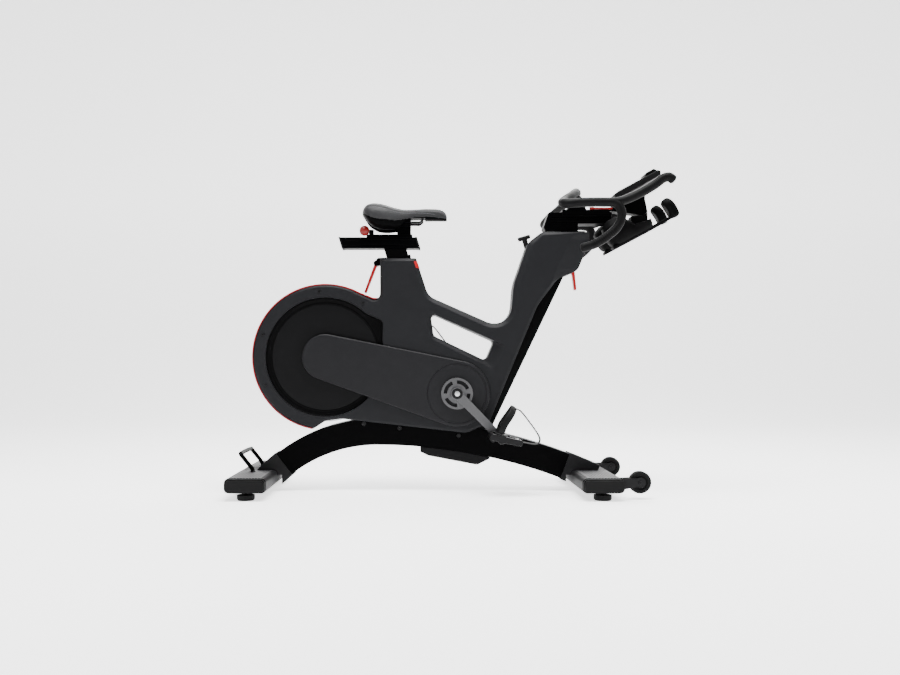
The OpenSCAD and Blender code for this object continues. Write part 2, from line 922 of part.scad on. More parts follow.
// Bush at the mouth of the front tube.
module head_collar() {
    intersection() {
        on_bar_post() difference() {
            post_box(tube_depth, tube_width, -40, 40);
            post_box(bar_post_depth, bar_post_width, -50, 50);
        }
        block([0, -BIG, head_z + 1.01], [BIG, BIG, head_z + 3.7]);
    }
}

module post_collars() {
    color(GREY) {
        seat_collar();
        head_collar();
    }
}

module drive_belt() {
    color(RUBBER) side(-belt_y - belt_w / 2 + 1, -belt_y + belt_w / 2 - 1) difference() {
        polygon(link([hub_x, hub_z], hub_pulley_r + seam + belt_t,
            [crank_x, crank_z], crank_pulley_r + seam + belt_t));
        polygon(link([hub_x, hub_z], hub_pulley_r + seam, [crank_x, crank_z],
            crank_pulley_r + seam));
    }
}

// Bolts through the beam's sides: each at x, dropped below the beam's top
bolt_d = 8;
bolt_head_d = 12;
bolt_depth = 14;
bolt_places = [for (b = [[-268, 12], [-166, 25], [3, 30], [101, 26]]) [b[0], arch_level(b[0]) - b[1]]];
screw_places = [for (a = [95, 55, 160, 205]) [hub_x + 188 * cos(a), hub_z + 188 * sin(a)]];

module beam_bolts() {
    for (p = bolt_places) both() difference() {
        union() {
            cross_rod(p[0], p[1], bolt_d, arch_width / 2 - bolt_depth + 1, arch_width / 2 + 1);
            cross_rod(p[0], p[1], bolt_head_d, arch_width / 2 + 0.01, arch_width / 2 + 4);
        }
        translate([p[0], arch_width / 2 + 5, p[1]]) rotate([90, 0, 0])
            cylinder(d = 6, h = 4, $fn = 6);
    }
}

module body_screws() {
    color(STEEL) for (p = screw_places) both()
        cross_rod(p[0], p[1], 8, body_half + 0.01, body_half + 2);
    color(GREY) beam_bolts();
}

// ---------- seat ----------

module seat_post() {
    low = -seat_tube_len + 8;
    color(STEEL) difference() {
        on_seat_post() difference() {
            post_box(post_depth, post_width, low, 60);
            post_box(post_depth - 2 * tube_wall, post_width - 2 * tube_wall, low - 1, 20);
        }
        block([-BIG, -BIG, rail_bottom], [BIG, BIG, BIG]);
    }
}

// Grooved rail with slanted ends and a T-slot for the carriage.
module seat_rail_zone(a, b, half, low, high) {
    slant = tan(seat_lean);
    side(-half, half) polygon([[a + slant * (rail_top - low), low], [b + slant * (rail_top - low), low],
        [b + slant * (rail_top - high), high], [a + slant * (rail_top - high), high]]);
}

slot_half = 7;
slot_deep = 14;
rail_start = rail_mid_x - seat_rail_len / 2;
rail_end = rail_mid_x + seat_rail_len / 2;
rail_cap_t = 5;

module seat_rail() {
    color(STEEL) difference() {
        seat_rail_zone(rail_start + rail_cap_t, rail_end - rail_cap_t, rail_half, rail_bottom + 0.01,
            rail_top);
        block([-BIG, -slot_half, rail_top - slot_deep], [BIG, slot_half, BIG]);
        block([-BIG, -slot_half - 5, rail_top - slot_deep],
            [BIG, slot_half + 5, rail_top - slot_deep + 6]);
        for (z = [rail_bottom + 8, rail_top - 10])
            both() block([-BIG, rail_half - 2, z], [BIG, BIG, z + 3]);
    }
}

module rail_caps() {
    color(RUBBER) {
        seat_rail_zone(rail_start, rail_start + rail_cap_t, rail_half + 1, rail_bottom - 1,
            rail_top + 1);
        seat_rail_zone(rail_end - rail_cap_t, rail_end, rail_half + 1, rail_bottom - 1,
            rail_top + 1);
    }
}

clamp_back = -174;
clamp_front = -134;
carriage_back = -262;

module seat_carriage() {
    base = rail_top + seam;
    color(STEEL) {
        block([carriage_back, -20, base], [clamp_front + 4, 20, base + 8]);
        block([clamp_back - 8, -slot_half + slide_gap, rail_top - slot_deep + seam + 1],
            [clamp_front, slot_half - slide_gap, base + 1]);
        block([clamp_back - 8, -slot_half - 5 + slide_gap, rail_top - slot_deep + seam],
            [clamp_front, slot_half + 5 - slide_gap, rail_top - slot_deep + 6 - seam]);
        block([clamp_back, -16, base + 7], [clamp_front, 16, rod_z - 12]);
    }
}

// Two-part clamp that grips the saddle rails.
module saddle_clamp() {
    half = rod_y + 7;
    color(STEEL) {
        difference() {
            block([clamp_back, -half, rod_z - 12 + 0.01], [clamp_front, half, rod_z - 0.5]);
            both() translate([clamp_back - 1, rod_y, rod_z]) rotate([0, 90, 0])
                cylinder(d = rod_d + 2 * run_gap, h = 60);
        }
        difference() {
            block([clamp_back, -half, rod_z + 0.5], [clamp_front, half, rod_z + 10]);
            both() translate([clamp_back - 1, rod_y, rod_z]) rotate([0, 90, 0])
                cylinder(d = rod_d + 2 * run_gap, h = 60);
        }
    }
}

module saddle_rails() {
    color(GREY) both() {
        translate([clamp_back - 20, rod_y, rod_z]) rotate([0, 90, 0])
            cylinder(d = rod_d, h = clamp_front - clamp_back + 38);
        sweep(smooth([[clamp_back - 20, rod_y, rod_z], [clamp_back - 34, rod_y, rod_z],
            [clamp_back - 58, rod_y, rod_z + 6], [clamp_back - 63, rod_y, rod_top]], 4),
            rod_d / 2, rod_d / 2, [0, 1, 0], 12);
        sweep(smooth([[clamp_front + 18, rod_y, rod_z], [clamp_front + 24, rod_y, rod_z],
            [clamp_front + 32, rod_y - 3, rod_z + 5], [clamp_front + 34, rod_y - 4, rod_top]], 4),
            rod_d / 2, rod_d / 2, [0, 1, 0], 12);
    }
}

// Half outline of the saddle in plan as shares of its length from the tail and of its half width
SADDLE_PLAN = [[0, 0.3], [0.02, 0.78], [0.1, 0.96], [0.22, 1], [0.36, 0.8], [0.5, 0.5], [0.68, 0.34],
    [0.88, 0.25], [0.985, 0.2], [1, 0.1]];
// Crown of the saddle: distance from the tail as a share of the length, height over its low edge
SADDLE_TOP = [[0, 40], [0.02, 50], [0.06, 59], [0.13, 63], [0.28, 58], [0.42, 50], [0.5, 46],
    [0.62, 48], [0.85, 49], [0.93, 46], [0.98, 37], [1, 22]];
// Lower edge of the padded cover, in the same way
SADDLE_EDGE = [[0, 30], [0.05, 18], [0.2, 3], [0.35, 0], [0.5, 8], [0.64, 16], [0.8, 17],
    [0.93, 14], [1, 12]];
// Underside of the hull
SADDLE_HULL = [[0.03, 18], [0.08, -2], [0.22, -18], [0.4, -19], [0.5, 0], [0.66, 9], [0.86, 11],
    [0.97, 10]];

function along(list, low) = [for (p = list) [tail_x + p[0] * saddle_len, low + p[1]]];
function reversed(p) = [for (i = [len(p) - 1:-1:0]) p[i]];

module saddle_plan(d) {
    half = [for (p = SADDLE_PLAN) [tail_x + d + p[0] * (saddle_len - 2 * d),
        p[1] * (saddle_w / 2 - d)]];
    polygon(concat([for (p = half) [p[0], -p[1]]], reversed(half)));
}

module saddle_cover() {
    color(LEATHER) difference() {
        intersection() {
            side(-BIG, BIG) polygon(concat(along(SADDLE_EDGE, saddle_low),
                reversed(along(SADDLE_TOP, saddle_low))));
            plan(0, BIG) saddle_plan(0);
        }
        block([tail_x + 15, -channel_half - 3, 0], [nose_x - 64, channel_half + 3, channel_top + 4]);
    }
}

module saddle_base() {
    color(RUBBER) difference() {
        union() {
            intersection() {
                side(-BIG, BIG) polygon(concat(along(SADDLE_HULL, saddle_low),
                    reversed(along(SADDLE_EDGE, saddle_low - seam))));
                plan(0, BIG) saddle_plan(4);
            }
            block([tail_x + 15 + seam, -channel_half - 3 + seam, saddle_low + 6],
                [nose_x - 64 - seam, channel_half + 3 - seam, channel_top + 4 - seam]);
        }
        block([tail_x - 1, -channel_half, 0], [nose_x - 67, channel_half, channel_top]);
    }
}

module lever_bar(x, z, x2, z2, half, thick) {
    dir = unit([x2 - x, z2 - z]);
    nrm = [-dir[1], dir[0]] * thick / 2;
    side(-half, half) union() {
        polygon([[x, z] + nrm, [x2, z2] + nrm * 0.8, [x2, z2] - nrm * 0.8, [x, z] - nrm]);
        translate([x2, z2]) circle(d = thick * 0.8);
    }
}

// Handle that frees the seat post, hinged on the collar's ears.
module seat_height_lever() {
    color(RED) difference() {
        union() {
            cross_rod(seat_pivot_x, seat_pivot_z, 14, -10.5, 10.5);
            lever_bar(seat_pivot_x, seat_pivot_z, -265, 572, 9, 9);
        }
        cross_rod(seat_pivot_x, seat_pivot_z, lever_pin_d + 2 * run_gap, -BIG, BIG);
    }
}

ball_at = [-267, -30];
ball_r = 13;
slide_pivot = [-248, -12];

// Ball-ended lever that frees the saddle carriage.
module seat_slide_lever() {
    base = rail_top + 8.6;
    color(RED) {
        translate([slide_pivot[0], slide_pivot[1], base]) cylinder(d = 14, h = 14);
        translate([0, 0, base + 4]) linear_extrude(7) polygon([slide_pivot + [-5, 3],
            slide_pivot + [3, -6], ball_at + [4, 2], ball_at + [-4, 6]]);
        translate([ball_at[0], ball_at[1], base + 7]) sphere(r = ball_r);
    }
}

// ---------- handlebar ----------

module bar_post() {
    color(STEEL) difference() {
        on_bar_post() difference() {
            post_box(bar_post_depth - 2 * slide_gap, bar_post_width - 2 * slide_gap,
                -bar_post_len, 60);
            post_box(bar_post_depth - 2 * tube_wall - 2 * slide_gap,
                bar_post_width - 2 * tube_wall - 2 * slide_gap, -bar_post_len - 1, -10);
        }
        block([-BIG, -BIG, head_z + 4], [BIG, BIG, BIG]);
    }
}

// Block on top of the post and the rail that the handlebar slides on.
module bar_rail() {
    color(STEEL) difference() {
        union() {
            side(-bar_rail_half, bar_rail_half) polygon([[252, head_z + 4.01], [346, head_z + 4.01],
                [346, bar_rail_z], [bar_rail_front, bar_rail_z],
                [bar_rail_front, bar_rail_z + bar_rail_h], [bar_rail_back, bar_rail_z + bar_rail_h],
                [247, head_z + 14]]);
        }
        for (z = [bar_rail_z + 2, bar_rail_z + 16])
            both() block([bar_rail_back + 6, bar_rail_half - 3, z], [BIG, BIG, z + 5]);
    }
}

carriage_from = 300;
carriage_to = 436;
carriage_base = bar_rail_z + bar_rail_h + seam;
neck_half = 20;
// Lower edge of the neck that carries the console and the cradles
NECK_UNDER = [[436, carriage_base + 5], [534, 792], [548, 800]];
console_foot = [446, 849];
console_under = 20;
function console_at(x, z) = console_foot + x * [cos(console_tilt), sin(console_tilt)]
    + z * [-sin(console_tilt), cos(console_tilt)];

// Sliding cheeks on the rail, the stem up to the crossbar and the neck forward to the console.
module bar_carriage() {
    out = bar_rail_half + slide_gap;
    color(STEEL) difference() {
        union() {
            block([carriage_from, -out - 5, carriage_base], [carriage_to, out + 5, carriage_base + 6]);
            both() block([carriage_from, out, bar_rail_z + 23], [carriage_to, out + 5,
                carriage_base + 1]);
            side(-22, 22) polygon([[316, carriage_base + 5], [372, carriage_base + 5], [356, 846],
                [330, 846]]);
            side(-neck_half, neck_half) polygon(concat([[404, carriage_base + 5]], NECK_UNDER,
                [[540, 838], console_at(96, -console_under), console_at(60, -console_under),
                [470, 822]]));
        }
        sweep(CROSS_PATH, bar_d / 2 + seam, bar_d / 2 + seam, [0, 0, 1], 12);
    }
}

bar_y = bar_spread / 2;
// Middle line of the crossbar's right half, from the centre outwards and round to the top bar
CROSS_POINTS = [[345, 0, 856], [338, -40, 853], [312, -110, 830], [285, -165, 808],
    [277, -bar_y + 18, 796], [291, -bar_y + 2, 792], [320, -bar_y, 794]];
TOP_POINTS = [[320, -bar_y, 794], [360, -bar_y, 795], [400, -bar_y, 795], [432, -bar_y + 4, 799],
    [483, -bar_y + 12, 821], [524, -bar_y + 13, 845], [547, -bar_y + 13, 862],
    [566, -bar_y + 13, 864], [573, -bar_y + 13, 856]];
DROP_POINTS = [[398, -bar_y, 795], [420, -bar_y, 789], [431, -bar_y - 1, 768],
    [429, -bar_y - 2, 748], [418, -bar_y - 2, 727], [394, -bar_y - 2, 705],
    [361, -bar_y - 1, 684], [324, -bar_y + 2, 672]];
CROSS_PATH = smooth(concat(flip_y(reversed([for (i = [1:len(CROSS_POINTS) - 1]) CROSS_POINTS[i]])),
    CROSS_POINTS), 3);

module handlebar() {
    r = bar_d / 2;
    color(RUBBER) {
        sweep(CROSS_PATH, r, r, [0, 0, 1], 12);
        both() {
            sweep(smooth(TOP_POINTS, 3), r, r, [0, 1, 0], 12);
            sweep(smooth(DROP_POINTS, 3), r - 0.4, r - 0.4, [0, 1, 0], 12);
        }
    }
}

// Tilted frame along the console: local x runs forward and up.
module on_console() {
    translate([console_foot[0], 0, console_foot[1]]) rotate([0, -console_tilt, 0]) children();
}

module console() {
    color(RUBBER) on_console() side(-42, 42) polygon(rounded([[0, -console_under, 8],
        [104, -console_under, 0], [104, -26, 2], [146, -26, 10], [146, 8, 6], [118, 22, 8], [100, 2, 4], [2, 0, 6]]));
}

cradle_len = 176;
cradle_wall = 4;
cradle_y = bottle_d / 2 + cradle_wall + 21;

module on_cradle() {
    translate([434, 0, 692]) rotate([0, -console_tilt, 0]) children();
}

// Two tilted bottle cradles on one plate, each with a paddle at its upper end.
module bottle_cradles() {
    half = bottle_d / 2 + cradle_wall;
    paddle_at = cradle_len + 37;
    color(RUBBER) difference() {
        union() {
            on_cradle() {
                both() {
                    translate([0, cradle_y, half - 8]) rotate([0, 90, 0])
                        cylinder(r = half, h = 128);
                    translate([0, cradle_y - 20, -8]) cube([paddle_at, 40, 9]);
                    translate([paddle_at - 14, cradle_y - 22, -8]) cube([14, 44, 50]);
                }
                translate([20, -cradle_y, 4]) cube([100, 2 * cradle_y, 12]);
            }
            side(-neck_half, neck_half) polygon(concat([[500, 744], [548, 770]],
                [NECK_UNDER[2] - [0, seam], NECK_UNDER[1] - [0, seam], [500, 796]]));
        }
        on_cradle() {
            both() translate([cradle_wall, cradle_y, half - 8]) rotate([0, 90, 0])
                cylinder(d = bottle_d + 2, h = 128);
            both() translate([60, cradle_y - half - 1, half + 4]) cube([BIG, 2 * half + 2, BIG]);
        }
    }
}

module bar_height_lever() {
    color(RED) difference() {
        union() {
            cross_rod(bar_pivot_x, bar_pivot_z, 14, -10.5, 10.5);
            lever_bar(bar_pivot_x, bar_pivot_z, 341, 580, 8, 9);
        }
        cross_rod(bar_pivot_x, bar_pivot_z, lever_pin_d + 2 * run_gap, -BIG, BIG);
    }
}

slide_lever_at = [386, -24];

module bar_slide_lever() {
    base = carriage_base + 6 + seam;
    color(RED) {
        translate([slide_lever_at[0], slide_lever_at[1], base]) cylinder(d = 14, h = 8);
        translate([slide_lever_at[0], slide_lever_at[1] - 8, base + 1]) cube([58, 8, 5]);
    }
}

// ---------- brake ----------

module brake_plunger() {
    color(STEEL) on_knob() {
        translate([0, 0, -82]) cylinder(d = plunger_d, h = 72);
        translate([0, 0, -10.01]) cylinder(d = plunger_tip_d, h = 26);
    }
}

module resistance_knob() {
    color(RED) on_knob() {
        difference() {
            union() {
                translate([0, 0, -9.5]) cylinder(d = 15, h = 28);
                translate([-18, 0, 21]) rotate([0, 90, 0]) cylinder(d = 9, h = 36);
            }
            translate([0, 0, -12]) cylinder(d = plunger_tip_d + 2 * run_gap, h = 28.5);
        }
    }
}

// Fork that carries a magnet on each side of the flywheel rim.
module magnet_carrier() {
    gap = rim_w / 2 + magnet_gap;
    p = carrier_pivot;
    color(CAST) difference() {
        union() {
            both() side(gap + 6, gap + 12) union() {
                polygon([p + [-2, -9], p + [8, 6], p + [-22, 56], p + [-68, 52], p + [-72, 24]]);
                translate(p) circle(r = 10);
            }
            both() side(gap, gap + 6) polygon([p + [-42, 50], p + [-64, 48], p + [-66, 26],
                p + [-38, 22]]);
            side(-gap - 12, gap + 12) polygon([p + [-24, 56], p + [-34, 56], p + [-14, 26],
                p + [-6, 30]]);
        }
        cross_rod(p[0], p[1], lever_pin_d + 2 * run_gap, -BIG, BIG);
    }
}

// ---------- drive ----------

module flywheel() {
    color(GREY) difference() {
        union() {
            difference() {
                cross_rod(hub_x, hub_z, 2 * flywheel_r, -rim_w / 2, rim_w / 2);
                both() cross_rod(hub_x, hub_z, 2 * flywheel_r - 70, 4, BIG);
            }
            cross_rod(hub_x, hub_z, 60, -15, 15);
        }
        cross_rod(hub_x, hub_z, fly_axle_d, -BIG, BIG);
        for (a = [0:60:300])
            cross_rod(hub_x + 95 * cos(a), hub_z + 95 * sin(a), 44, -BIG, BIG);
    }
}

module flywheel_axle() {
    low = -belt_y - belt_w / 2;
    color(GREY) {
        cross_rod(hub_x, hub_z, fly_axle_d, low, mount_y + mount_t + 3);
        cross_rod(hub_x, hub_z, 2 * hub_pulley_r, low, low + belt_w);
        both() cross_rod(hub_x, hub_z, fly_axle_d + 8, 15.01, mount_y - 0.3);
    }
}

module crank_pulley() {
    low = -belt_y - belt_w / 2;
    color(GREY) {
        difference() {
            cross_rod(crank_x, crank_z, 2 * crank_pulley_r, low, low + belt_w - 4);
            cross_rod(crank_x, crank_z, 2 * crank_pulley_r - 24, low + 5, BIG);
        }
        cross_rod(crank_x, crank_z, 34, low, -25);
        cross_rod(crank_x, crank_z, spindle_d, -arm_y + arm_t / 2 + 0.01, arm_y - arm_t / 2 - 0.01);
    }
}

module crank_arm(at, side_sign) {
    inner = arm_y - arm_t / 2;
    y0 = side_sign > 0 ? inner : -inner - arm_t;
    side(y0, y0 + arm_t) {
        translate([crank_x, crank_z]) circle(d = 34);
        translate(at) circle(d = 26);
        dir = unit(at - [crank_x, crank_z]);
        nrm = [-dir[1], dir[0]];
        polygon([[crank_x, crank_z] + nrm * 13, at + nrm * 11, at - nrm * 11,
            [crank_x, crank_z] - nrm * 13]);
    }
    outer = side_sign > 0 ? inner + arm_t : -inner - arm_t;
    reach = side_sign * (pedal_in + pedal_w - 6);
    cross_rod(at[0], at[1], pedal_axle_d, min(outer, reach), max(outer, reach));
}

// Arms with their pedal axles, and the slotted ring behind the right arm.
module crank_arms() {
    ring_out = -body_half - guard_out - 1;
    color(GREY) {
        crank_arm(right_pedal_at, -1);
        difference() {
            cross_rod(crank_x, crank_z, 2 * spider_r, -arm_y + arm_t / 2 - 1, ring_out);
            cross_rod(crank_x, crank_z, spindle_d + 0.1, -BIG, BIG);
            for (a = [0:90:270]) side(-BIG, BIG) translate([crank_x, crank_z])
                rotate(a) intersection() {
                    difference() {
                        circle(r = 38);
                        circle(r = 28);
                    }
                    polygon([[0, 0], [60, 26], [60, 0], [26, 60], [0, 60]] * 1);
                }
        }
        crank_arm(left_pedal_at, 1);
    }
}

// Platform that turns on the pedal axle; at is the axle's place in side view.
module pedal(at) {
    translate([at[0], 0, at[1]]) rotate([0, pedal_tilt, 0]) difference() {
        union() {
            side(pedal_in, pedal_in + pedal_w) polygon(rounded([[-34, -8, 5], [56, -8, 5], [58, 8, 5],
                [-34, 9, 5]], 4));
            cross_rod(0, 0, 26, pedal_in, pedal_in + pedal_w);
        }
        cross_rod(0, 0, pedal_axle_d + 2 * run_gap, 0, pedal_in + pedal_w - 4);
        block([18, pedal_in + 16, -BIG], [42, pedal_in + pedal_w - 16, BIG]);
    }
}

module right_pedal() {
    color(STEEL) mirror([0, 1, 0]) pedal(right_pedal_at);
}

module left_pedal() {
    color(STEEL) pedal(left_pedal_at);
}

// Hoop over the toe with its strap back to the platform.
module toe_cage(at) {
    in_y = pedal_in + 8;
    out_y = pedal_in + pedal_w - 8;
    mid_y = (in_y + out_y) / 2;
    translate([at[0], 0, at[1]]) rotate([0, pedal_tilt, 0]) {
        sweep(smooth([[59.5, mid_y, 2], [96, mid_y, 4], [106, mid_y, 14], [100, mid_y, 30],
            [66, mid_y, 62], [36, mid_y, 86], [16, mid_y, 88]], 3), 2, 14, [1, 0, 1], 8);
        sweep(smooth([[-6, in_y - 4, 14], [-2, in_y - 7, 40], [12, in_y + 4, 74],
            [17, mid_y, 92.6], [12, out_y - 4, 74], [-2, out_y + 7, 40], [-6, out_y + 4, 14]], 3),
            1.5, 9, [0, -1, 0], 8);
    }
}

module right_toe_cage() {
    color(RUBBER) mirror([0, 1, 0]) toe_cage(right_pedal_at);
}

module left_toe_cage() {
    color(RUBBER) toe_cage(left_pedal_at);
}

// ---------- wheels and feet ----------

module wheel(y) {
    color(RUBBER) difference() {
        cross_rod(wheel_x, wheel_z, wheel_d, y - wheel_w / 2, y + wheel_w / 2);
        cross_rod(wheel_x, wheel_z, wheel_pin_d + 2 * run_gap, -BIG, BIG);
        for (s = [-1, 1]) cross_rod(wheel_x, wheel_z, wheel_d - 20,
            y + s * wheel_w / 2 - 3, y + s * wheel_w / 2 + 3);
    }
    color(GREY) difference() {
        cross_rod(wheel_x, wheel_z, wheel_pin_d + 12, y - wheel_w / 2, y + wheel_w / 2);
        cross_rod(wheel_x, wheel_z, wheel_pin_d + 2 * run_gap, -BIG, BIG);
    }
}

module right_wheel() {
    wheel(-wheel_y);
}

module left_wheel() {
    wheel(wheel_y);
}

module foot(x, y) {
    color(RUBBER) translate([x, y, 0]) {
        cylinder(d = foot_d - 4, h = 3);
        translate([0, 0, 3]) cylinder(d = foot_d, h = foot_h - 3);
        translate([0, 0, foot_h - 1]) cylinder(d = stud_d, h = ground_gap + stud_reach - foot_h);
    }
}

module rear_right_foot() {
    foot(-rear_reach, -foot_y);
}

module rear_left_foot() {
    foot(-rear_reach, foot_y);
}

module front_right_foot() {
    foot(front_reach, -foot_y);
}

module front_left_foot() {
    foot(front_reach, foot_y);
}

arch_beam();
arch_sleeves();
rear_stabilizer();
front_stabilizer();
end_caps();
tread_plates();
lift_handle();
seat_tube();
front_tube();
top_tube();
bottom_bracket();
bearings();
flywheel_mounts();
right_shell();
right_front_shell();
left_shell();
left_front_shell();
side_dishes();
belt_guard();
left_cover();
rim_trim();
belly_cover();
post_collars();
drive_belt();
body_screws();
seat_post();
seat_rail();
rail_caps();
seat_carriage();
saddle_clamp();
saddle_rails();
saddle_base();
saddle_cover();
seat_height_lever();
seat_slide_lever();
bar_post();
bar_rail();
bar_carriage();
handlebar();
console();
bottle_cradles();
bar_height_lever();
bar_slide_lever();
brake_plunger();
resistance_knob();
magnet_carrier();
flywheel();
flywheel_axle();
crank_pulley();
crank_arms();
right_pedal();
left_pedal();
right_toe_cage();
left_toe_cage();
right_wheel();
left_wheel();
rear_right_foot();
rear_left_foot();
front_right_foot();
front_left_foot();
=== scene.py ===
"""Looks of an indoor cycle: a moulded body over a flywheel on an arched base beam."""
import json
import logging
import math
from dataclasses import dataclass, field
from enum import Enum
from typing import Callable, Sequence

import bmesh
import bpy
from mathutils import Matrix, Vector, geometry


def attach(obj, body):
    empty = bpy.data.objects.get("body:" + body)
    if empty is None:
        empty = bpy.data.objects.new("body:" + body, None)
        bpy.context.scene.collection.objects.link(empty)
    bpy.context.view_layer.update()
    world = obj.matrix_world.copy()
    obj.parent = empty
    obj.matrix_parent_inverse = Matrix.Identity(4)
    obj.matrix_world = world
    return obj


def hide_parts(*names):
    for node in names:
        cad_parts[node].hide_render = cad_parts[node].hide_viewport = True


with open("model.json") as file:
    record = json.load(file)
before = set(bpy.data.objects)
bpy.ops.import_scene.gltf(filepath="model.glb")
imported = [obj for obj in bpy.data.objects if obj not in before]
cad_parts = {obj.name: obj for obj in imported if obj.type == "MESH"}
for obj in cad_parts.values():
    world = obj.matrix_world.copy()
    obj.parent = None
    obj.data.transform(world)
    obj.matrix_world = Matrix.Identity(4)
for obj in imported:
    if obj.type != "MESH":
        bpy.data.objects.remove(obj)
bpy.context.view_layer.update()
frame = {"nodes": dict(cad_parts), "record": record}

LOG = logging.getLogger("cycle")
MM = 0.001
NIL = 1e-9
TOUCH = 1e-6
Point = tuple[float, float]
Spot = tuple[float, float, float]
Ring = list[Spot]


# ---------- outlines, in millimetres ----------


def rounded(corners: Sequence[Sequence[float]], steps: int = 8) -> list[Point]:
    """Rounds the corners of a closed outline.

    Args:
        corners: (x, z) or (x, z, radius) of each corner, in order.
        steps: arc steps at each rounded corner.

    Returns:
        The outline's points.
    """
    points: list[Point] = []
    count = len(corners)
    for i, c in enumerate(corners):
        here = Vector(c[:2])
        radius = c[2] if len(c) > 2 else 0.0
        u = (Vector(corners[i - 1][:2]) - here).normalized()
        v = (Vector(corners[(i + 1) % count][:2]) - here).normalized()
        half = math.acos(max(-1.0, min(1.0, u.dot(v)))) / 2
        if radius <= 0 or math.sin(half) > 0.9999:
            points.append((here.x, here.y))
            continue
        middle = here + (u + v).normalized() * radius / math.sin(half)
        a = here + u * radius / math.tan(half) - middle
        b = here + v * radius / math.tan(half) - middle
        start = math.atan2(a.y, a.x)
        turn = (math.atan2(b.y, b.x) - start + 3 * math.pi) % (2 * math.pi) - math.pi
        for k in range(steps + 1):
            t = start + turn * k / steps
            points.append((middle.x + radius * math.cos(t), middle.y + radius * math.sin(t)))
    return points


def arc(cx: float, cz: float, radius: float, start: float, end: float, steps: int) -> list[Point]:
    """Points of an arc about (cx, cz) between two angles in degrees.

    Returns:
        steps + 1 points, both ends included.
    """
    return [(cx + radius * math.cos(math.radians(start + (end - start) * k / steps)),
             cz + radius * math.sin(math.radians(start + (end - start) * k / steps)))
            for k in range(steps + 1)]


def belt_outline(a: Point, ra: float, b: Point, rb: float, steps: int = 40) -> list[Point]:
    """Outline of a belt round two circles, the first of them behind the second.

    Returns:
        The outline's points, anticlockwise.
    """
    gap = math.dist(a, b)
    lean = math.degrees(math.atan2(b[1] - a[1], b[0] - a[0]))
    spread = math.degrees(math.acos((ra - rb) / gap))
    return (arc(*b, rb, lean - spread, lean + spread, steps)
            + arc(*a, ra, lean + spread, lean + 360 - spread, steps))


def spaced(points: Sequence[Sequence[float]], step: float, closed: bool = True) -> list[tuple]:
    """Adds points to an outline or path, so that no edge is longer than step.

    Returns:
        The denser list, with every old point kept.
    """
    out: list[tuple] = []
    count = len(points)
    for i in range(count if closed else count - 1):
        a, b = points[i], points[(i + 1) % count]
        gap = math.dist(a, b)
        if gap < TOUCH:
            continue
        parts = max(1, math.ceil(gap / step))
        for k in range(parts):
            out.append(tuple(p + (q - p) * k / parts for p, q in zip(a, b)))
    if not closed:
        out.append(tuple(points[-1]))
    return out


def inset(points: Sequence[Point], depth: float) -> list[Point]:
    """Moves each point of an anticlockwise outline inwards.

    Args:
        points: the outline.
        depth: how far.

    Returns:
        The moved outline, with as many points.
    """
    count = len(points)
    out = []
    for i, p in enumerate(points):
        a, b = points[i - 1], points[(i + 1) % count]
        e = Vector((p[0] - a[0], p[1] - a[1])).normalized()
        f = Vector((b[0] - p[0], b[1] - p[1])).normalized()
        k = Vector((-e.y, e.x)) + Vector((-f.y, f.x))
        scale = depth / max(0.35, 1 + e.dot(f)) if k.length > TOUCH else 0
        out.append((p[0] + k.x * scale, p[1] + k.y * scale))
    return out


def smooth_path(points: Sequence[Sequence[float]], steps: int = 8,
                closed: bool = False) -> list[tuple]:
    """Passes a smooth curve through points, whatever their dimension.

    Returns:
        Points along the curve, with steps spans for each given span.
    """
    count = len(points)
    out: list[tuple] = []
    for i in range(count if closed else count - 1):
        around = [(i + j) % count if closed else max(0, min(count - 1, i + j))
                  for j in range(-1, 3)]
        p0, p1, p2, p3 = (Vector(points[j]) for j in around)
        d0, d1, d2 = (max(TOUCH, (b - a).length) ** 0.5 for a, b in ((p0, p1), (p1, p2), (p2, p3)))
        m1 = m2 = (p2 - p1) / d1
        if (p1 - p0).length > TOUCH:
            m1 = (p1 - p0) / d0 - (p2 - p0) / (d0 + d1) + (p2 - p1) / d1
        if (p3 - p2).length > TOUCH:
            m2 = (p2 - p1) / d1 - (p3 - p1) / (d1 + d2) + (p3 - p2) / d2
        m1, m2 = m1 * d1, m2 * d1
        for k in range(steps):
            t = k / steps
            out.append(tuple((2 * t ** 3 - 3 * t ** 2 + 1) * p1 + (t ** 3 - 2 * t ** 2 + t) * m1
                             + (3 * t ** 2 - 2 * t ** 3) * p2 + (t ** 3 - t ** 2) * m2))
    if not closed:
        out.append(tuple(points[-1]))
    return out


def level(table: Sequence[Point], at: float) -> float:
    """Reads a value from a table of (position, value) pairs, on straight lines between them.

    Returns:
        The value at that position.
    """
    if at <= table[0][0]:
        return table[0][1]
    for (a, p), (b, q) in zip(table, table[1:]):
        if at <= b:
            t = (at - a) / (b - a)
            return p + (q - p) * t
    return table[-1][1]


# ---------- meshes, in millimetres until they are made pieces ----------


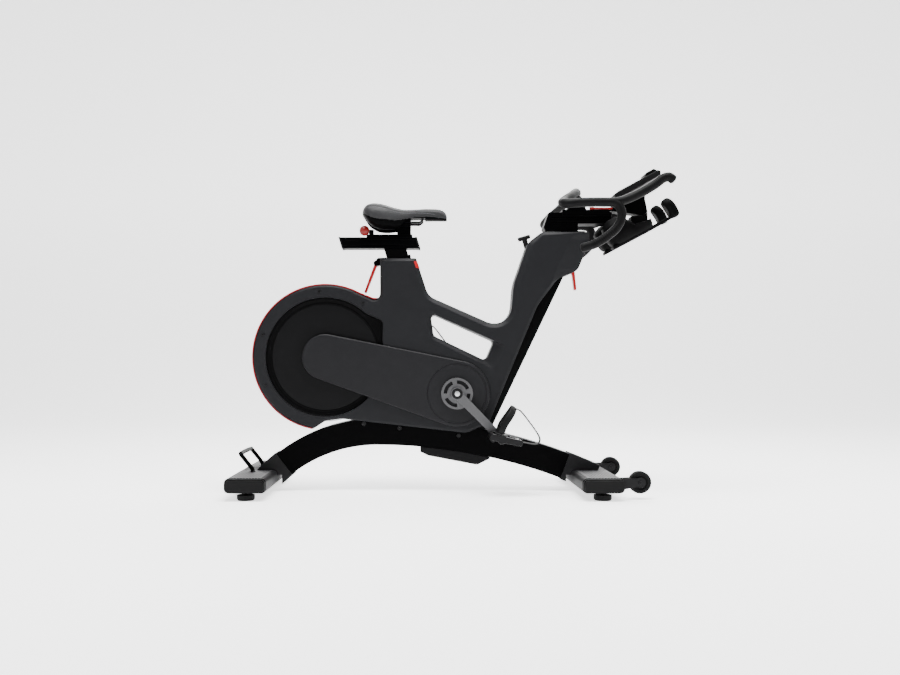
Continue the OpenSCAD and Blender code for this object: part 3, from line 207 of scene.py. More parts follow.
class Shape:
    """A mesh under construction."""

    def __init__(self) -> None:
        """Starts with no points and no faces."""
        self.spots: list[Spot] = []
        self.faces: list[tuple[int, ...]] = []

    def ring(self, points: Sequence[Spot]) -> list[int]:
        """Adds points and returns their indices."""
        first = len(self.spots)
        self.spots.extend(tuple(p) for p in points)
        return list(range(first, len(self.spots)))

    def bridge(self, a: Sequence[int], b: Sequence[int], closed: bool = True) -> None:
        """Joins two rings of the same count with quads."""
        count = len(a)
        for i in range(count if closed else count - 1):
            j = (i + 1) % count
            face = tuple(dict.fromkeys((a[i], a[j], b[j], b[i])))
            if len(face) > 2:
                self.faces.append(face)

    def fill(self, rings: Sequence[Sequence[int]], flip: bool = False) -> None:
        """Fills the area between one outer ring and its holes with triangles.

        Args:
            rings: the outer ring, then the holes.
            flip: turns the faces round.
        """
        flat = [i for ring in rings for i in ring]
        loops = [[Vector(self.spots[i]) for i in ring] for ring in rings]
        for tri in geometry.tessellate_polygon(loops):
            face = tuple(flat[k] for k in tri)
            self.faces.append(face[::-1] if flip else face)

    def tube(self, rings: Sequence[Sequence[Spot]]) -> None:
        """Lofts a skin through closed rings, with a cap at both ends."""
        made = [self.ring(r) for r in rings]
        for a, b in zip(made, made[1:]):
            self.bridge(a, b)
        self.faces.append(tuple(reversed(made[0])))
        self.faces.append(tuple(made[-1]))

    def add(self, other: "Shape", place: Callable[[Spot], Spot] | None = None) -> None:
        """Takes in another shape, moved by place if that is given."""
        first = len(self.spots)
        self.spots.extend(place(p) if place else p for p in other.spots)
        self.faces.extend(tuple(i + first for i in f) for f in other.faces)

    def mirrored(self) -> "Shape":
        """Returns the same shape on the other side, with its faces still outwards."""
        twin = Shape()
        twin.spots = [(x, -y, z) for x, y, z in self.spots]
        twin.faces = [f[::-1] for f in self.faces]
        return twin

    def mesh(self, name: str, outwards: bool = True) -> bpy.types.Mesh:
        """Makes the mesh in metres.

        Args:
            name: the mesh's name.
            outwards: merges doubles and turns each closed part's faces outwards.

        Returns:
            The new mesh.
        """
        mesh = bpy.data.meshes.new(name)
        mesh.from_pydata([tuple(c * MM for c in p) for p in self.spots], [], self.faces)
        if outwards:
            bm = bmesh.new()
            bm.from_mesh(mesh)
            bmesh.ops.remove_doubles(bm, verts=bm.verts, dist=0.00001)
            bmesh.ops.dissolve_degenerate(bm, edges=bm.edges, dist=0.000005)
            bmesh.ops.recalc_face_normals(bm, faces=bm.faces)
            bm.to_mesh(mesh)
            bm.free()
        return mesh

    def piece(self, name: str) -> bpy.types.Object:
        """Makes the mesh and returns a new object of the same name that holds it."""
        return new_object(name, self.mesh(name))


def new_object(name: str, mesh: bpy.types.Mesh) -> bpy.types.Object:
    """Links a mesh to the scene as an object at the origin and returns it."""
    obj = bpy.data.objects.new(name, mesh)
    bpy.context.scene.collection.objects.link(obj)
    return obj


def settle(obj: bpy.types.Object) -> bpy.types.Object:
    """Applies an object's modifiers to its mesh and returns the object."""
    graph = bpy.context.evaluated_depsgraph_get()
    made = bpy.data.meshes.new_from_object(obj.evaluated_get(graph), preserve_all_data_layers=True,
                                           depsgraph=graph)
    old = obj.data
    obj.modifiers.clear()
    obj.data = made
    bpy.data.meshes.remove(old)
    return obj


def cut(obj: bpy.types.Object, *tools: bpy.types.Object,
        operation: str = "DIFFERENCE") -> bpy.types.Object:
    """Cuts an object by others, or joins it with them, and removes those.

    Returns:
        The object that was cut.
    """
    for tool in tools:
        step = obj.modifiers.new("cut", "BOOLEAN")
        step.operation, step.solver, step.object = operation, "EXACT", tool
    settle(obj)
    for tool in tools:
        bpy.data.objects.remove(tool)
    return obj


def shade(obj: bpy.types.Object, angle: float = 32.0) -> bpy.types.Object:
    """Shades an object smooth up to an angle in degrees, and returns it."""
    obj.data.shade_smooth()
    obj.data.set_sharp_from_angle(angle=math.radians(angle))
    return obj


def evened(obj: bpy.types.Object) -> bpy.types.Object:
    """Weights an object's normals by face size, so that flat faces shade flat, and returns it."""
    normals = obj.modifiers.new("normals", "WEIGHTED_NORMAL")
    normals.keep_sharp = True
    return settle(obj)


def to_right(obj: bpy.types.Object) -> bpy.types.Object:
    """Mirrors an object made on the left to the right, its faces still outwards, and returns it."""
    obj.data.transform(Matrix.Scale(-1, 4, (0, 1, 0)))
    obj.data.flip_normals()
    return obj


def ease(obj: bpy.types.Object, width: float, segments: int = 3,
         angle: float = 35.0) -> bpy.types.Object:
    """Rounds an object's edges and keeps its flats flat.

    Args:
        obj: the object.
        width: the rounding's width in millimetres, or 0 for none.
        segments: steps across the rounding.
        angle: edges sharper than this, in degrees, are rounded.

    Returns:
        The same object, its mesh final.
    """
    if width > 0:
        bevel = obj.modifiers.new("ease", "BEVEL")
        bevel.width, bevel.segments = width * MM, segments
        bevel.limit_method, bevel.angle_limit = "ANGLE", math.radians(angle)
        bevel.use_clamp_overlap = True
        bevel.miter_outer = "MITER_ARC"
        settle(obj)
    return evened(shade(obj))


def from_cad(node: str, name: str) -> bpy.types.Object:
    """Copies a CAD node's mesh, merged and with flat areas as single faces.

    Returns:
        The new object.
    """
    mesh = frame["nodes"][node].data.copy()
    mesh.name = name
    mesh.materials.clear()
    bm = bmesh.new()
    bm.from_mesh(mesh)
    bmesh.ops.remove_doubles(bm, verts=bm.verts, dist=0.00002)
    bmesh.ops.dissolve_limit(bm, angle_limit=math.radians(0.6), verts=bm.verts, edges=bm.edges)
    bm.to_mesh(mesh)
    bm.free()
    return new_object(name, mesh)


def prism(outline: Sequence[Point], y0: float, y1: float, edge: float = 0.0,
          steps: int = 3) -> Shape:
    """A plate that stands in the XZ plane.

    Args:
        outline: its outline, anticlockwise.
        y0: its lower y.
        y1: its upper y.
        edge: radius of its rounded rim.
        steps: steps round that rim.

    Returns:
        The closed shape.
    """
    shape = Shape()
    rings = []
    for k in range(steps + 1 if edge > 0 else 1):
        t = math.pi / 2 * (1 - k / steps) if edge > 0 else 0
        drop, back = edge * (1 - math.cos(t)), edge * (1 - math.sin(t))
        rings.append((inset(outline, drop) if drop > NIL else outline, back))
    low = [shape.ring([(x, y0 + b, z) for x, z in pts]) for pts, b in rings]
    high = [shape.ring([(x, y1 - b, z) for x, z in pts]) for pts, b in rings]
    for a, b in zip(low, low[1:]):
        shape.bridge(a, b)
    for a, b in zip(high, high[1:]):
        shape.bridge(b, a)
    shape.bridge(low[-1], high[-1])
    shape.fill([low[0]])
    shape.fill([high[0]], flip=True)
    return shape


def lathe(profile: Sequence[Point], centre: Point, y_sign: float = 1.0, steps: int = 64,
          closed: bool = False) -> Shape:
    """Turns a profile of (radius, y) about an axis along Y.

    Args:
        profile: the points from end to end; an end on the axis has radius 0.
        centre: the axis's (x, z).
        y_sign: -1 puts the shape on the right side.
        steps: steps round the axis.
        closed: joins the profile's last point to its first.

    Returns:
        The shape, closed where the profile is.
    """
    shape = Shape()
    rings = []
    for r, y in profile:
        if r < TOUCH:
            rings.append(shape.ring([(centre[0], y * y_sign, centre[1])]) * steps)
        else:
            circle = arc(*centre, r, 0, 360, steps)[:-1]
            rings.append(shape.ring([(x, y * y_sign, z) for x, z in circle]))
    for a, b in zip(rings, rings[1:] + (rings[:1] if closed else [])):
        shape.bridge(a, b)
    return shape


def frames(path: Sequence[Spot]) -> list[tuple[Vector, Vector, Vector]]:
    """Carries a square frame along a path without twist, its side starting near Y.

    Args:
        path: the points.

    Returns:
        For each point the heading and the two directions across it.
    """
    out = []
    side = Vector((0, 1, 0))
    for i, p in enumerate(path):
        heading = (Vector(path[min(i + 1, len(path) - 1)])
                   - Vector(path[max(i - 1, 0)])).normalized()
        side = (side - heading * side.dot(heading)).normalized()
        out.append((heading, side, heading.cross(side)))
    return out


def sweep(path: Sequence[Spot], section: Callable[[float], Sequence[Point]],
          dome: float = 0.0) -> Shape:
    """Carries a section along a path.

    Args:
        path: the centre line.
        section: the closed section, as (side, up) points, at a share of the path's length.
        dome: radius by which each end is rounded over.

    Returns:
        The closed shape.
    """
    gaps = [0.0]
    for a, b in zip(path, path[1:]):
        gaps.append(gaps[-1] + math.dist(a, b))
    rings = []
    for p, (heading, side, up), far in zip(path, frames(path), gaps):
        rings.append([tuple(Vector(p) + side * s + up * u) for s, u in section(far / gaps[-1])])
    if dome > 0:
        for end, sign in ((0, -1.0), (-1, 1.0)):
            heading = frames(path)[end][0]
            base, middle = rings[end], Vector(path[end])
            extra = []
            for k in range(1, 6):
                t = math.radians(84) * k / 5
                extra.append([tuple(middle + (Vector(q) - middle) * math.cos(t)
                                    + heading * (sign * dome * math.sin(t))) for q in base])
            rings = rings + extra if end else extra[::-1] + rings
    shape = Shape()
    shape.tube(rings)
    return shape


def round_section(radius: float, sides: int = 24, flat: float = 1.0) -> list[Point]:
    """Returns an ellipse's points, radius across and radius * flat up."""
    return [(radius * math.cos(2 * math.pi * k / sides),
             radius * flat * math.sin(2 * math.pi * k / sides))
            for k in range(sides)]


def block(low: Spot, high: Spot) -> Shape:
    """Returns a plain box between two corners."""
    (x0, y0, z0), (x1, y1, z1) = low, high
    shape = Shape()
    shape.tube([[(x0, y0, z), (x1, y0, z), (x1, y1, z), (x0, y1, z)] for z in (z0, z1)])
    return shape


# ---------- finishes ----------


class Grain(Enum):
    """What the surface of a finish looks like close up."""

    PEBBLE = "pebble"
    ORANGE_PEEL = "orange peel"
    CAST = "cast"
    TURNED = "turned"
    BRUSHED = "brushed"
    HIDE = "hide"
    STIPPLE = "stipple"


class Nodes:
    """Short names for building a material's node tree."""

    def __init__(self, name: str) -> None:
        """Makes an empty node material of that name."""
        self.material = bpy.data.materials.new(name)
        self.material.use_nodes = True
        self.tree = self.material.node_tree
        self.tree.nodes.clear()
        self.out = self.add("ShaderNodeOutputMaterial")
        self.shader = self.add("ShaderNodeBsdfPrincipled")
        self.join(self.shader.outputs[0], self.out.inputs[0])
        self.place = self.add("ShaderNodeTexCoord").outputs["Object"]

    def add(self, kind: str, **settings: object) -> bpy.types.Node:
        """Adds a node and sets its properties."""
        node = self.tree.nodes.new(kind)
        for key, value in settings.items():
            setattr(node, key, value)
        return node

    def join(self, a: bpy.types.NodeSocket, b: bpy.types.NodeSocket) -> None:
        """Links an output to an input."""
        self.tree.links.new(a, b)

    def feed(self, socket: bpy.types.NodeSocket, value: object) -> None:
        """Links a socket to an output, or sets its value."""
        if isinstance(value, bpy.types.NodeSocket):
            self.join(value, socket)
        else:
            socket.default_value = value

    def stretch(self, scale: Spot, turn: Spot = (0, 0, 0),
                shift: Spot = (0, 0, 0)) -> bpy.types.NodeSocket:
        """Returns the object's coordinates moved, turned in degrees and scaled."""
        node = self.add("ShaderNodeMapping", vector_type="POINT")
        self.join(self.place, node.inputs["Vector"])
        node.inputs["Location"].default_value = shift
        node.inputs["Rotation"].default_value = tuple(math.radians(t) for t in turn)
        node.inputs["Scale"].default_value = scale
        return node.outputs[0]

    def noise(self, scale: float, detail: float = 3.0, rough: float = 0.5,
              source: bpy.types.NodeSocket | None = None) -> bpy.types.NodeSocket:
        """Returns a noise value; scale is in cycles a metre."""
        node = self.add("ShaderNodeTexNoise")
        self.join(source or self.place, node.inputs["Vector"])
        node.inputs["Scale"].default_value = scale
        node.inputs["Detail"].default_value = detail
        node.inputs["Roughness"].default_value = rough
        return node.outputs["Fac"]

    def cells(self, scale: float, feature: str = "F1") -> bpy.types.NodeSocket:
        """Returns a Voronoi distance; scale is in cells a metre."""
        node = self.add("ShaderNodeTexVoronoi", feature=feature)
        self.join(self.place, node.inputs["Vector"])
        node.inputs["Scale"].default_value = scale
        return node.outputs["Distance"]

    def math(self, operation: str, a: object, b: object = 0.0,
             c: object = 0.0) -> bpy.types.NodeSocket:
        """Returns the result of a math operation on values or sockets."""
        node = self.add("ShaderNodeMath", operation=operation)
        for socket, value in zip(node.inputs, (a, b, c)):
            self.feed(socket, value)
        return node.outputs[0]

    def span(self, value: object, low: float, high: float, to_low: float = 0.0,
             to_high: float = 1.0) -> bpy.types.NodeSocket:
        """Returns a value carried from one range to another, and held inside it."""
        node = self.add("ShaderNodeMapRange")
        for socket, v in zip(node.inputs, (value, low, high, to_low, to_high)):
            self.feed(socket, v)
        return node.outputs[0]

    def blend(self, share: object, a: object, b: object) -> bpy.types.NodeSocket:
        """Returns a mix of two colours."""
        node = self.add("ShaderNodeMix", data_type="RGBA")
        self.feed(node.inputs[0], share)
        self.feed(node.inputs[6], a)
        self.feed(node.inputs[7], b)
        return node.outputs[2]

    def axis(self, source: bpy.types.NodeSocket) -> dict[str, bpy.types.NodeSocket]:
        """Returns a coordinate's three parts by name."""
        node = self.add("ShaderNodeSeparateXYZ")
        self.join(source, node.inputs[0])
        return {k: node.outputs[i] for i, k in enumerate("xyz")}

    def bump(self, height: bpy.types.NodeSocket, strength: float,
             depth: float) -> bpy.types.NodeSocket:
        """Returns a normal for a height; depth is in metres."""
        node = self.add("ShaderNodeBump")
        node.inputs["Strength"].default_value = strength
        node.inputs["Distance"].default_value = depth
        self.join(height, node.inputs["Height"])
        return node.outputs[0]


def shaded(colour: Spot, gain: float) -> tuple[float, float, float, float]:
    """Returns a colour made lighter or darker, with full alpha."""
    return tuple(min(1.0, c * gain) for c in colour) + (1.0,)


@dataclass(frozen=True)
class Finish:
    """A surface: its colour, how it shines and what its grain is.

    centre and turn place the turning marks of a lathe-cut part.
    """

    name: str
    colour: Spot
    rough: float
    grain: Grain
    metal: float = 0.0
    coat: float = 0.0
    size: float = 900.0
    depth: float = 0.0002
    relief: float = 0.25
    mottle: float = 0.12
    spread: float = 0.08
    wear: float = 0.0
    centre: Spot = (0.0, 0.0, 0.0)
    turn: Spot = (90.0, 0.0, 0.0)
    sheen: float = 0.0
    shine: float = 0.1

    def material(self) -> bpy.types.Material:
        """Returns the finish's material, made once."""
        found = bpy.data.materials.get(self.name)
        if found:
            return found
        n = Nodes(self.name)
        cloud = n.noise(9.0, 4.0, 0.6)
        fine = n.noise(160.0, 3.0, 0.6)
        tone = n.math("ADD", n.math("MULTIPLY", cloud, 0.65), n.math("MULTIPLY", fine, 0.35))
        share = n.span(tone, 0.3, 0.7)
        colour = n.blend(share, shaded(self.colour, 1 - self.mottle),
                         shaded(self.colour, 1 + self.mottle))
        height, rough = self.surface(n)
        if self.wear > 0:
            rub = n.math("MULTIPLY", n.span(n.noise(26.0, 6.0, 0.75), 0.58, 0.72),
                         n.span(n.noise(420.0, 4.0, 0.7), 0.42, 0.62))
            colour = n.blend(n.math("MULTIPLY", rub, self.wear), colour, shaded(self.colour, 1.9))
            rough = n.math("ADD", rough, n.math("MULTIPLY", rub, -0.08))
        n.feed(n.shader.inputs["Base Color"], colour)
        n.feed(n.shader.inputs["Roughness"], rough)
        n.shader.inputs["Metallic"].default_value = self.metal
        n.shader.inputs["Coat Weight"].default_value = self.coat
        n.shader.inputs["Coat Roughness"].default_value = 0.12
        n.shader.inputs["Specular IOR Level"].default_value = self.shine
        n.shader.inputs["Sheen Weight"].default_value = self.sheen
        n.shader.inputs["Sheen Roughness"].default_value = 0.45
        n.feed(n.shader.inputs["Normal"], n.bump(height, self.relief, self.depth))
        return n.material

    def surface(self, n: Nodes) -> tuple[bpy.types.NodeSocket, bpy.types.NodeSocket]:
        """Returns the grain's height and the roughness that goes with it."""
        vary = n.noise(34.0, 4.0, 0.65)
        if self.grain is Grain.PEBBLE:
            height = n.math("ADD", n.span(n.cells(self.size), 0.0, 0.8, 1.0, 0.0),
                            n.math("MULTIPLY", n.noise(self.size * 2.2, 2.0), 0.5))
        elif self.grain is Grain.ORANGE_PEEL:
            height = n.math("ADD", n.noise(self.size * 0.35, 2.0, 0.4),
                            n.math("MULTIPLY", n.noise(self.size * 1.6, 1.0), 0.3))
        elif self.grain is Grain.CAST:
            height = n.math("ADD", n.noise(self.size, 5.0, 0.7),
                            n.math("MULTIPLY", n.cells(self.size * 0.6), 0.6))
        elif self.grain is Grain.HIDE:
            creases = n.span(n.cells(self.size, "DISTANCE_TO_EDGE"), 0.0, 0.16)
            warp = n.noise(self.size * 0.25, 4.0, 0.6)
            height = n.math("ADD", n.math("MULTIPLY", creases, 0.8), n.math("MULTIPLY", warp, 0.7))
        elif self.grain is Grain.STIPPLE:
            height = n.span(n.cells(self.size), 0.12, 0.42, 1.0, 0.0)
        elif self.grain is Grain.BRUSHED:
            height = n.noise(1.0, 4.0, 0.7, n.stretch((30.0, 2200.0, 2200.0), self.turn))
        else:
            parts = n.axis(n.stretch((1, 1, 1), self.turn, tuple(-c for c in self.placed())))
            radius = n.math("SQRT", n.math("ADD", n.math("MULTIPLY", parts["x"], parts["x"]),
                                           n.math("MULTIPLY", parts["y"], parts["y"])))
            made = n.add("ShaderNodeCombineXYZ")
            n.join(n.math("MULTIPLY", radius, 2600.0), made.inputs[0])
            n.join(n.math("MULTIPLY", parts["z"], 500.0), made.inputs[1])
            height = n.noise(1.0, 3.0, 0.6, made.outputs[0])
        rough = n.math("ADD", self.rough - self.spread / 2,
                       n.math("ADD", n.math("MULTIPLY", vary, self.spread),
                              n.math("MULTIPLY", height, 0.04)))
        return height, rough

    def placed(self) -> Spot:
        """Returns the turning centre in metres, as the turned coordinates have it."""
        spot = Vector(c * MM for c in self.centre)
        turn = Matrix.Rotation(math.radians(self.turn[0]), 3, "X")
        return tuple(turn @ spot)


def coated(name: str, colour: Spot, **more: object) -> Finish:
    """Returns a satin powder coat of that colour."""
    return Finish(name, colour, 0.34, Grain.ORANGE_PEEL, size=900, depth=0.0001, relief=0.16,
                  **more)


SHELL = Finish("shell_plastic", (0.0080, 0.0082, 0.0092), 0.46, Grain.PEBBLE, size=1500,
               depth=0.0001, relief=0.16, mottle=0.07, spread=0.10, shine=0.08)
GUARD = Finish("guard_plastic", (0.0088, 0.0088, 0.0098), 0.42, Grain.PEBBLE, size=1600,
               depth=0.0001, relief=0.14, mottle=0.08, spread=0.1, shine=0.08)
COVER = Finish("cover_plastic", (0.0034, 0.0034, 0.0037), 0.42, Grain.PEBBLE, size=1600,
               depth=0.0001, relief=0.14, mottle=0.08, spread=0.1, shine=0.06)
INNER = Finish("inner_plastic", (0.0010, 0.0010, 0.0011), 0.5, Grain.PEBBLE, size=1300,
               depth=0.0001, relief=0.2, mottle=0.1, shine=0.03)
BLACK = coated("black_coat", (0.0005, 0.0005, 0.0006), mottle=0.08, wear=0.12, shine=0.02)
POST = coated("post_coat", (0.0005, 0.0005, 0.0006), coat=0.04, mottle=0.06, shine=0.04)
CAST = Finish("cast_coat", (0.0065, 0.0065, 0.0070), 0.5, Grain.CAST, size=750, depth=0.0003,
              relief=0.3, mottle=0.12, wear=0.15)
CAP = Finish("cap_plastic", (0.0030, 0.0030, 0.0032), 0.55, Grain.PEBBLE, size=900, depth=0.0002,
             relief=0.3)
RED = Finish("red_gloss", (0.27, 0.0035, 0.0055), 0.28, Grain.ORANGE_PEEL, size=500, depth=0.0001,
             relief=0.1, mottle=0.05, coat=0.2, shine=0.2)
RED_DEEP = Finish("red_ball", (0.13, 0.004, 0.0036), 0.3, Grain.ORANGE_PEEL, size=500, depth=0.0001,
                  relief=0.1, mottle=0.08, coat=0.15, shine=0.2)
TREAD = Finish("tread_alloy", (0.045, 0.045, 0.047), 0.45, Grain.BRUSHED, metal=0.6, size=900,
               depth=0.0001, relief=0.2, mottle=0.1, turn=(0, 0, 90))
ALLOY = Finish("crank_alloy", (0.085, 0.085, 0.088), 0.36, Grain.BRUSHED, metal=0.85, depth=0.0001,
               relief=0.15, mottle=0.08, turn=(0, -45, 0), wear=0.2)
STEEL = Finish("steel", (0.45, 0.45, 0.46), 0.28, Grain.BRUSHED, metal=1.0, depth=0.00005,
               relief=0.15, mottle=0.06)
DARK_STEEL = Finish("dark_steel", (0.014, 0.014, 0.0145), 0.35, Grain.ORANGE_PEEL, metal=0.9,
                    size=800, depth=0.0001, relief=0.15, mottle=0.1)
RUBBER = Finish("black_rubber", (0.0025, 0.0025, 0.0027), 0.62, Grain.STIPPLE, size=700,
                depth=0.0002, relief=0.2, mottle=0.12)
GRIP = Finish("grip_rubber", (0.0020, 0.0020, 0.0022), 0.5, Grain.STIPPLE, size=620, depth=0.0003,
              relief=0.35, mottle=0.1, shine=0.07)
HIDE = Finish("saddle_hide", (0.0130, 0.0130, 0.0140), 0.44, Grain.HIDE, size=620, depth=0.0004,
              relief=0.35, mottle=0.14, spread=0.12, sheen=0.03, shine=0.2)
HULL = Finish("hull_plastic", (0.0008, 0.0008, 0.0009), 0.45, Grain.PEBBLE, size=1200, depth=0.0001,
              relief=0.2, shine=0.02)
THREAD = Finish("stitch_thread", (0.09, 0.09, 0.095), 0.6, Grain.STIPPLE, size=3000, depth=0.0001,
                relief=0.3)
GLOSS = Finish("gloss_plastic", (0.00294, 0.00294, 0.00315), 0.16, Grain.ORANGE_PEEL, size=400,
               depth=0.0001, relief=0.06, mottle=0.05, coat=0.3)
WHEEL_CUT = Finish("flywheel_alloy", (0.5, 0.5, 0.51), 0.3, Grain.TURNED, metal=1.0, depth=0.0001,
                   relief=0.25, mottle=0.05, centre=(-378.5, 0, 383))
INK = Finish("scale_ink", (0.35, 0.35, 0.36), 0.5, Grain.STIPPLE, size=3000, depth=0.00005,
             relief=0.1)


def finished(obj: bpy.types.Object, finish: Finish, body: str, slot: str = "",
             replaces: Sequence[str] = ()) -> bpy.types.Object:
    """Gives a made piece its finish and its place in the model.

    Args:
        obj: the piece.
        finish: its finish.
        body: the body that it moves with.
        slot: the record's material slot, if it takes one; not used.
        replaces: the CAD nodes it stands for.

    Returns:
        The piece.
    """
    obj.data.materials.clear()
    obj.data.materials.append(finish.material())
    if body:
        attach(obj, body)
    if replaces:
        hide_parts(*replaces)
    LOG.info("%s: %d faces on %s", obj.name, len(obj.data.polygons), body or "the stage")
    return obj
# ---------- repeated details ----------


@dataclass
class Repeater:
    """Sets one small shape down at many places with a Geometry Nodes tree.

    The template is made with its foot at the origin and Z as its outward direction.
    """

    name: str
    template: Shape
    finish: Finish
    scale: Spot = (1.0, 1.0, 1.0)
    spots: list[tuple[Spot, Spot, Spot]] = field(default_factory=list)

    def put(self, spot: Spot, out: Spot, along: Spot = (1, 0, 0)) -> None:
        """Adds a place, with the outward direction and the direction of the template's X."""
        self.spots.append((spot, out, along))

    def tree(self) -> tuple[bpy.types.NodeTree, dict[str, str]]:
        """Builds the node tree.

        Returns:
            The tree and its inputs' identifiers by name.
        """
        tree = bpy.data.node_groups.new(self.name + "_tree", "GeometryNodeTree")
        add = tree.nodes.new
        tree.interface.new_socket("Geometry", in_out="OUTPUT", socket_type="NodeSocketGeometry")
        tree.interface.new_socket("Geometry", in_out="INPUT", socket_type="NodeSocketGeometry")
        ids = {}
        for label, kind in (("Template", "NodeSocketObject"), ("Scale", "NodeSocketVector"),
                            ("Finish", "NodeSocketMaterial")):
            ids[label] = tree.interface.new_socket(label, in_out="INPUT",
                                                   socket_type=kind).identifier
        feed, out = add("NodeGroupInput"), add("NodeGroupOutput")
        part = add("GeometryNodeObjectInfo")
        turn = add("GeometryNodeInputNamedAttribute")
        euler = add("FunctionNodeEulerToRotation")
        turn.data_type = "FLOAT_VECTOR"
        turn.inputs["Name"].default_value = "turn"
        place = add("GeometryNodeInstanceOnPoints")
        real = add("GeometryNodeRealizeInstances")
        dress = add("GeometryNodeSetMaterial")
        for a, b in ((feed.outputs["Geometry"], place.inputs["Points"]),
                     (feed.outputs["Template"], part.inputs["Object"]),
                     (part.outputs["Geometry"], place.inputs["Instance"]),
                     (turn.outputs["Attribute"], euler.inputs[0]),
                     (euler.outputs[0], place.inputs["Rotation"]),
                     (feed.outputs["Scale"], place.inputs["Scale"]),
                     (place.outputs["Instances"], real.inputs[0]),
                     (real.outputs[0], dress.inputs["Geometry"]),
                     (feed.outputs["Finish"], dress.inputs["Material"]),
                     (dress.outputs[0], out.inputs[0])):
            tree.links.new(a, b)
        return tree, ids

    def build(self) -> bpy.types.Object:
        """Makes the repeated shapes one plain mesh and returns its object."""
        points = bpy.data.meshes.new(self.name)
        points.from_pydata([tuple(c * MM for c in s) for s, _, _ in self.spots], [], [])
        turns = points.attributes.new("turn", "FLOAT_VECTOR", "POINT")
        for slot, (_, out, along) in zip(turns.data, self.spots):
            z = Vector(out).normalized()
            x = (Vector(along) - z * z.dot(Vector(along))).normalized()
            basis = Matrix((x, z.cross(x), z)).transposed()
            slot.vector = basis.to_euler()
        obj = new_object(self.name, points)
        part = self.template.piece(self.name + "_template")
        tree, ids = self.tree()
        steps = obj.modifiers.new("repeat", "NODES")
        steps.node_group = tree
        steps[ids["Template"]] = part
        steps[ids["Scale"]] = self.scale
        steps[ids["Finish"]] = self.finish.material()
        settle(obj)
        bpy.data.objects.remove(part)
        if obj.data.attributes.get("turn"):
            obj.data.attributes.remove(obj.data.attributes["turn"])
        obj.data.materials.clear()
        return shade(obj)


def upright(profile: Sequence[Point], sides: int = 20) -> Shape:
    """Turns a profile of (radius, height) about Z, from the bottom up, closed at both ends."""
    shape = Shape()
    shape.tube([[(r * math.cos(2 * math.pi * k / sides), r * math.sin(2 * math.pi * k / sides), z)
                 for k in range(sides)] for r, z in profile])
    return shape


def socket_screw(radius: float, height: float) -> Shape:
    """Returns a screw head with a rounded rim and a round socket."""
    return upright([(radius * 0.8, -1.0), (radius, -0.2), (radius, height * 0.55),
                    (radius * 0.93, height * 0.85), (radius * 0.8, height), (radius * 0.5, height),
                    (radius * 0.44, height - 0.3),
                    (radius * 0.4, height * 0.25), (radius * 0.05, height * 0.2)], 18)


# ---------- moulded body ----------

HUB: Point = (-378.5, 383.0)
CRANK: Point = (-2.5, 279.0)
GUARD_ENDS: Point = (65.0, 94.0)
GUARD_GAP = 0.4
ARCH_HALF = 38.8
ARCH_GAP = 0.8


def widened(corners: Sequence[Sequence[float]], depth: float) -> list[tuple]:
    """Moves an anticlockwise outline's corners inwards, with radii to match.

    Args:
        corners: (x, z, radius) of each corner.
        depth: how far inwards; below zero it is outwards.

    Returns:
        The moved corners, as (x, z, radius).
    """
    out = []
    count = len(corners)
    for i, c in enumerate(corners):
        a, b = corners[i - 1], corners[(i + 1) % count]
        e = Vector((c[0] - a[0], c[1] - a[1])).normalized()
        f = Vector((b[0] - c[0], b[1] - c[1])).normalized()
        k, l = Vector((-e.y, e.x)), Vector((-f.y, f.x))
        q = Vector(c[:2]) + (k + l) * depth / max(0.3, 1 + k.dot(l))
        bend = math.copysign(1.0, e.x * f.y - e.y * f.x)
        out.append((q.x, q.y, 0 if c[2] <= 0 else max(0.01, c[2] - bend * depth)))
    return out


@dataclass
class Rim:
    """A formed edge: an outline, and where the flat side face begins inside it."""

    outline: list[tuple]
    face: list[tuple]
    drops: list[float]
    steps: int = 7

    def table(self, step: float = 9.0) -> list[tuple]:
        """Returns (x, z, face x, face z, drop) along the whole rim."""
        rows: list[tuple] = []
        count = len(self.outline)
        for i in range(count):
            a = self.turned_corner(self.outline, i)
            b = self.turned_corner(self.face, i)
            rows.extend((*p, *q, self.drops[i]) for p, q in zip(a, b))
        return spaced(rows, step)

    def turned_corner(self, corners: Sequence[Sequence[float]], i: int) -> list[Point]:
        """Returns one corner's points, as many in the outline as in the face."""
        if self.outline[i][2] <= 0:
            return [tuple(corners[i][:2])]
        count = len(corners)
        tri = [corners[i - 1][:2], corners[i], corners[(i + 1) % count][:2]]
        made = rounded([tuple(tri[0]), tuple(tri[1]), tuple(tri[2])], self.steps)[1:-1]
        return made if len(made) == self.steps + 1 else [tuple(corners[i][:2])] * (self.steps + 1)


def rim_of(corners: Sequence[tuple], faces: dict[int, tuple] | None = None,
           sign: float = 1.0) -> Rim:
    """Makes a rim from corners of (x, z, radius, width, drop).

    Args:
        corners: the outline, anticlockwise, with each corner's chamfer width and drop.
        faces: corners whose place on the face is given as (x, z, radius).
        sign: -1 for a hole, whose chamfer lies outside its outline.

    Returns:
        The rim.
    """
    face = []
    for i, c in enumerate(corners):
        moved = widened([k[:3] for k in corners], sign * c[3])[i]
        face.append((faces or {}).get(i, moved))
    return Rim([c[:3] for c in corners], face, [c[4] for c in corners])


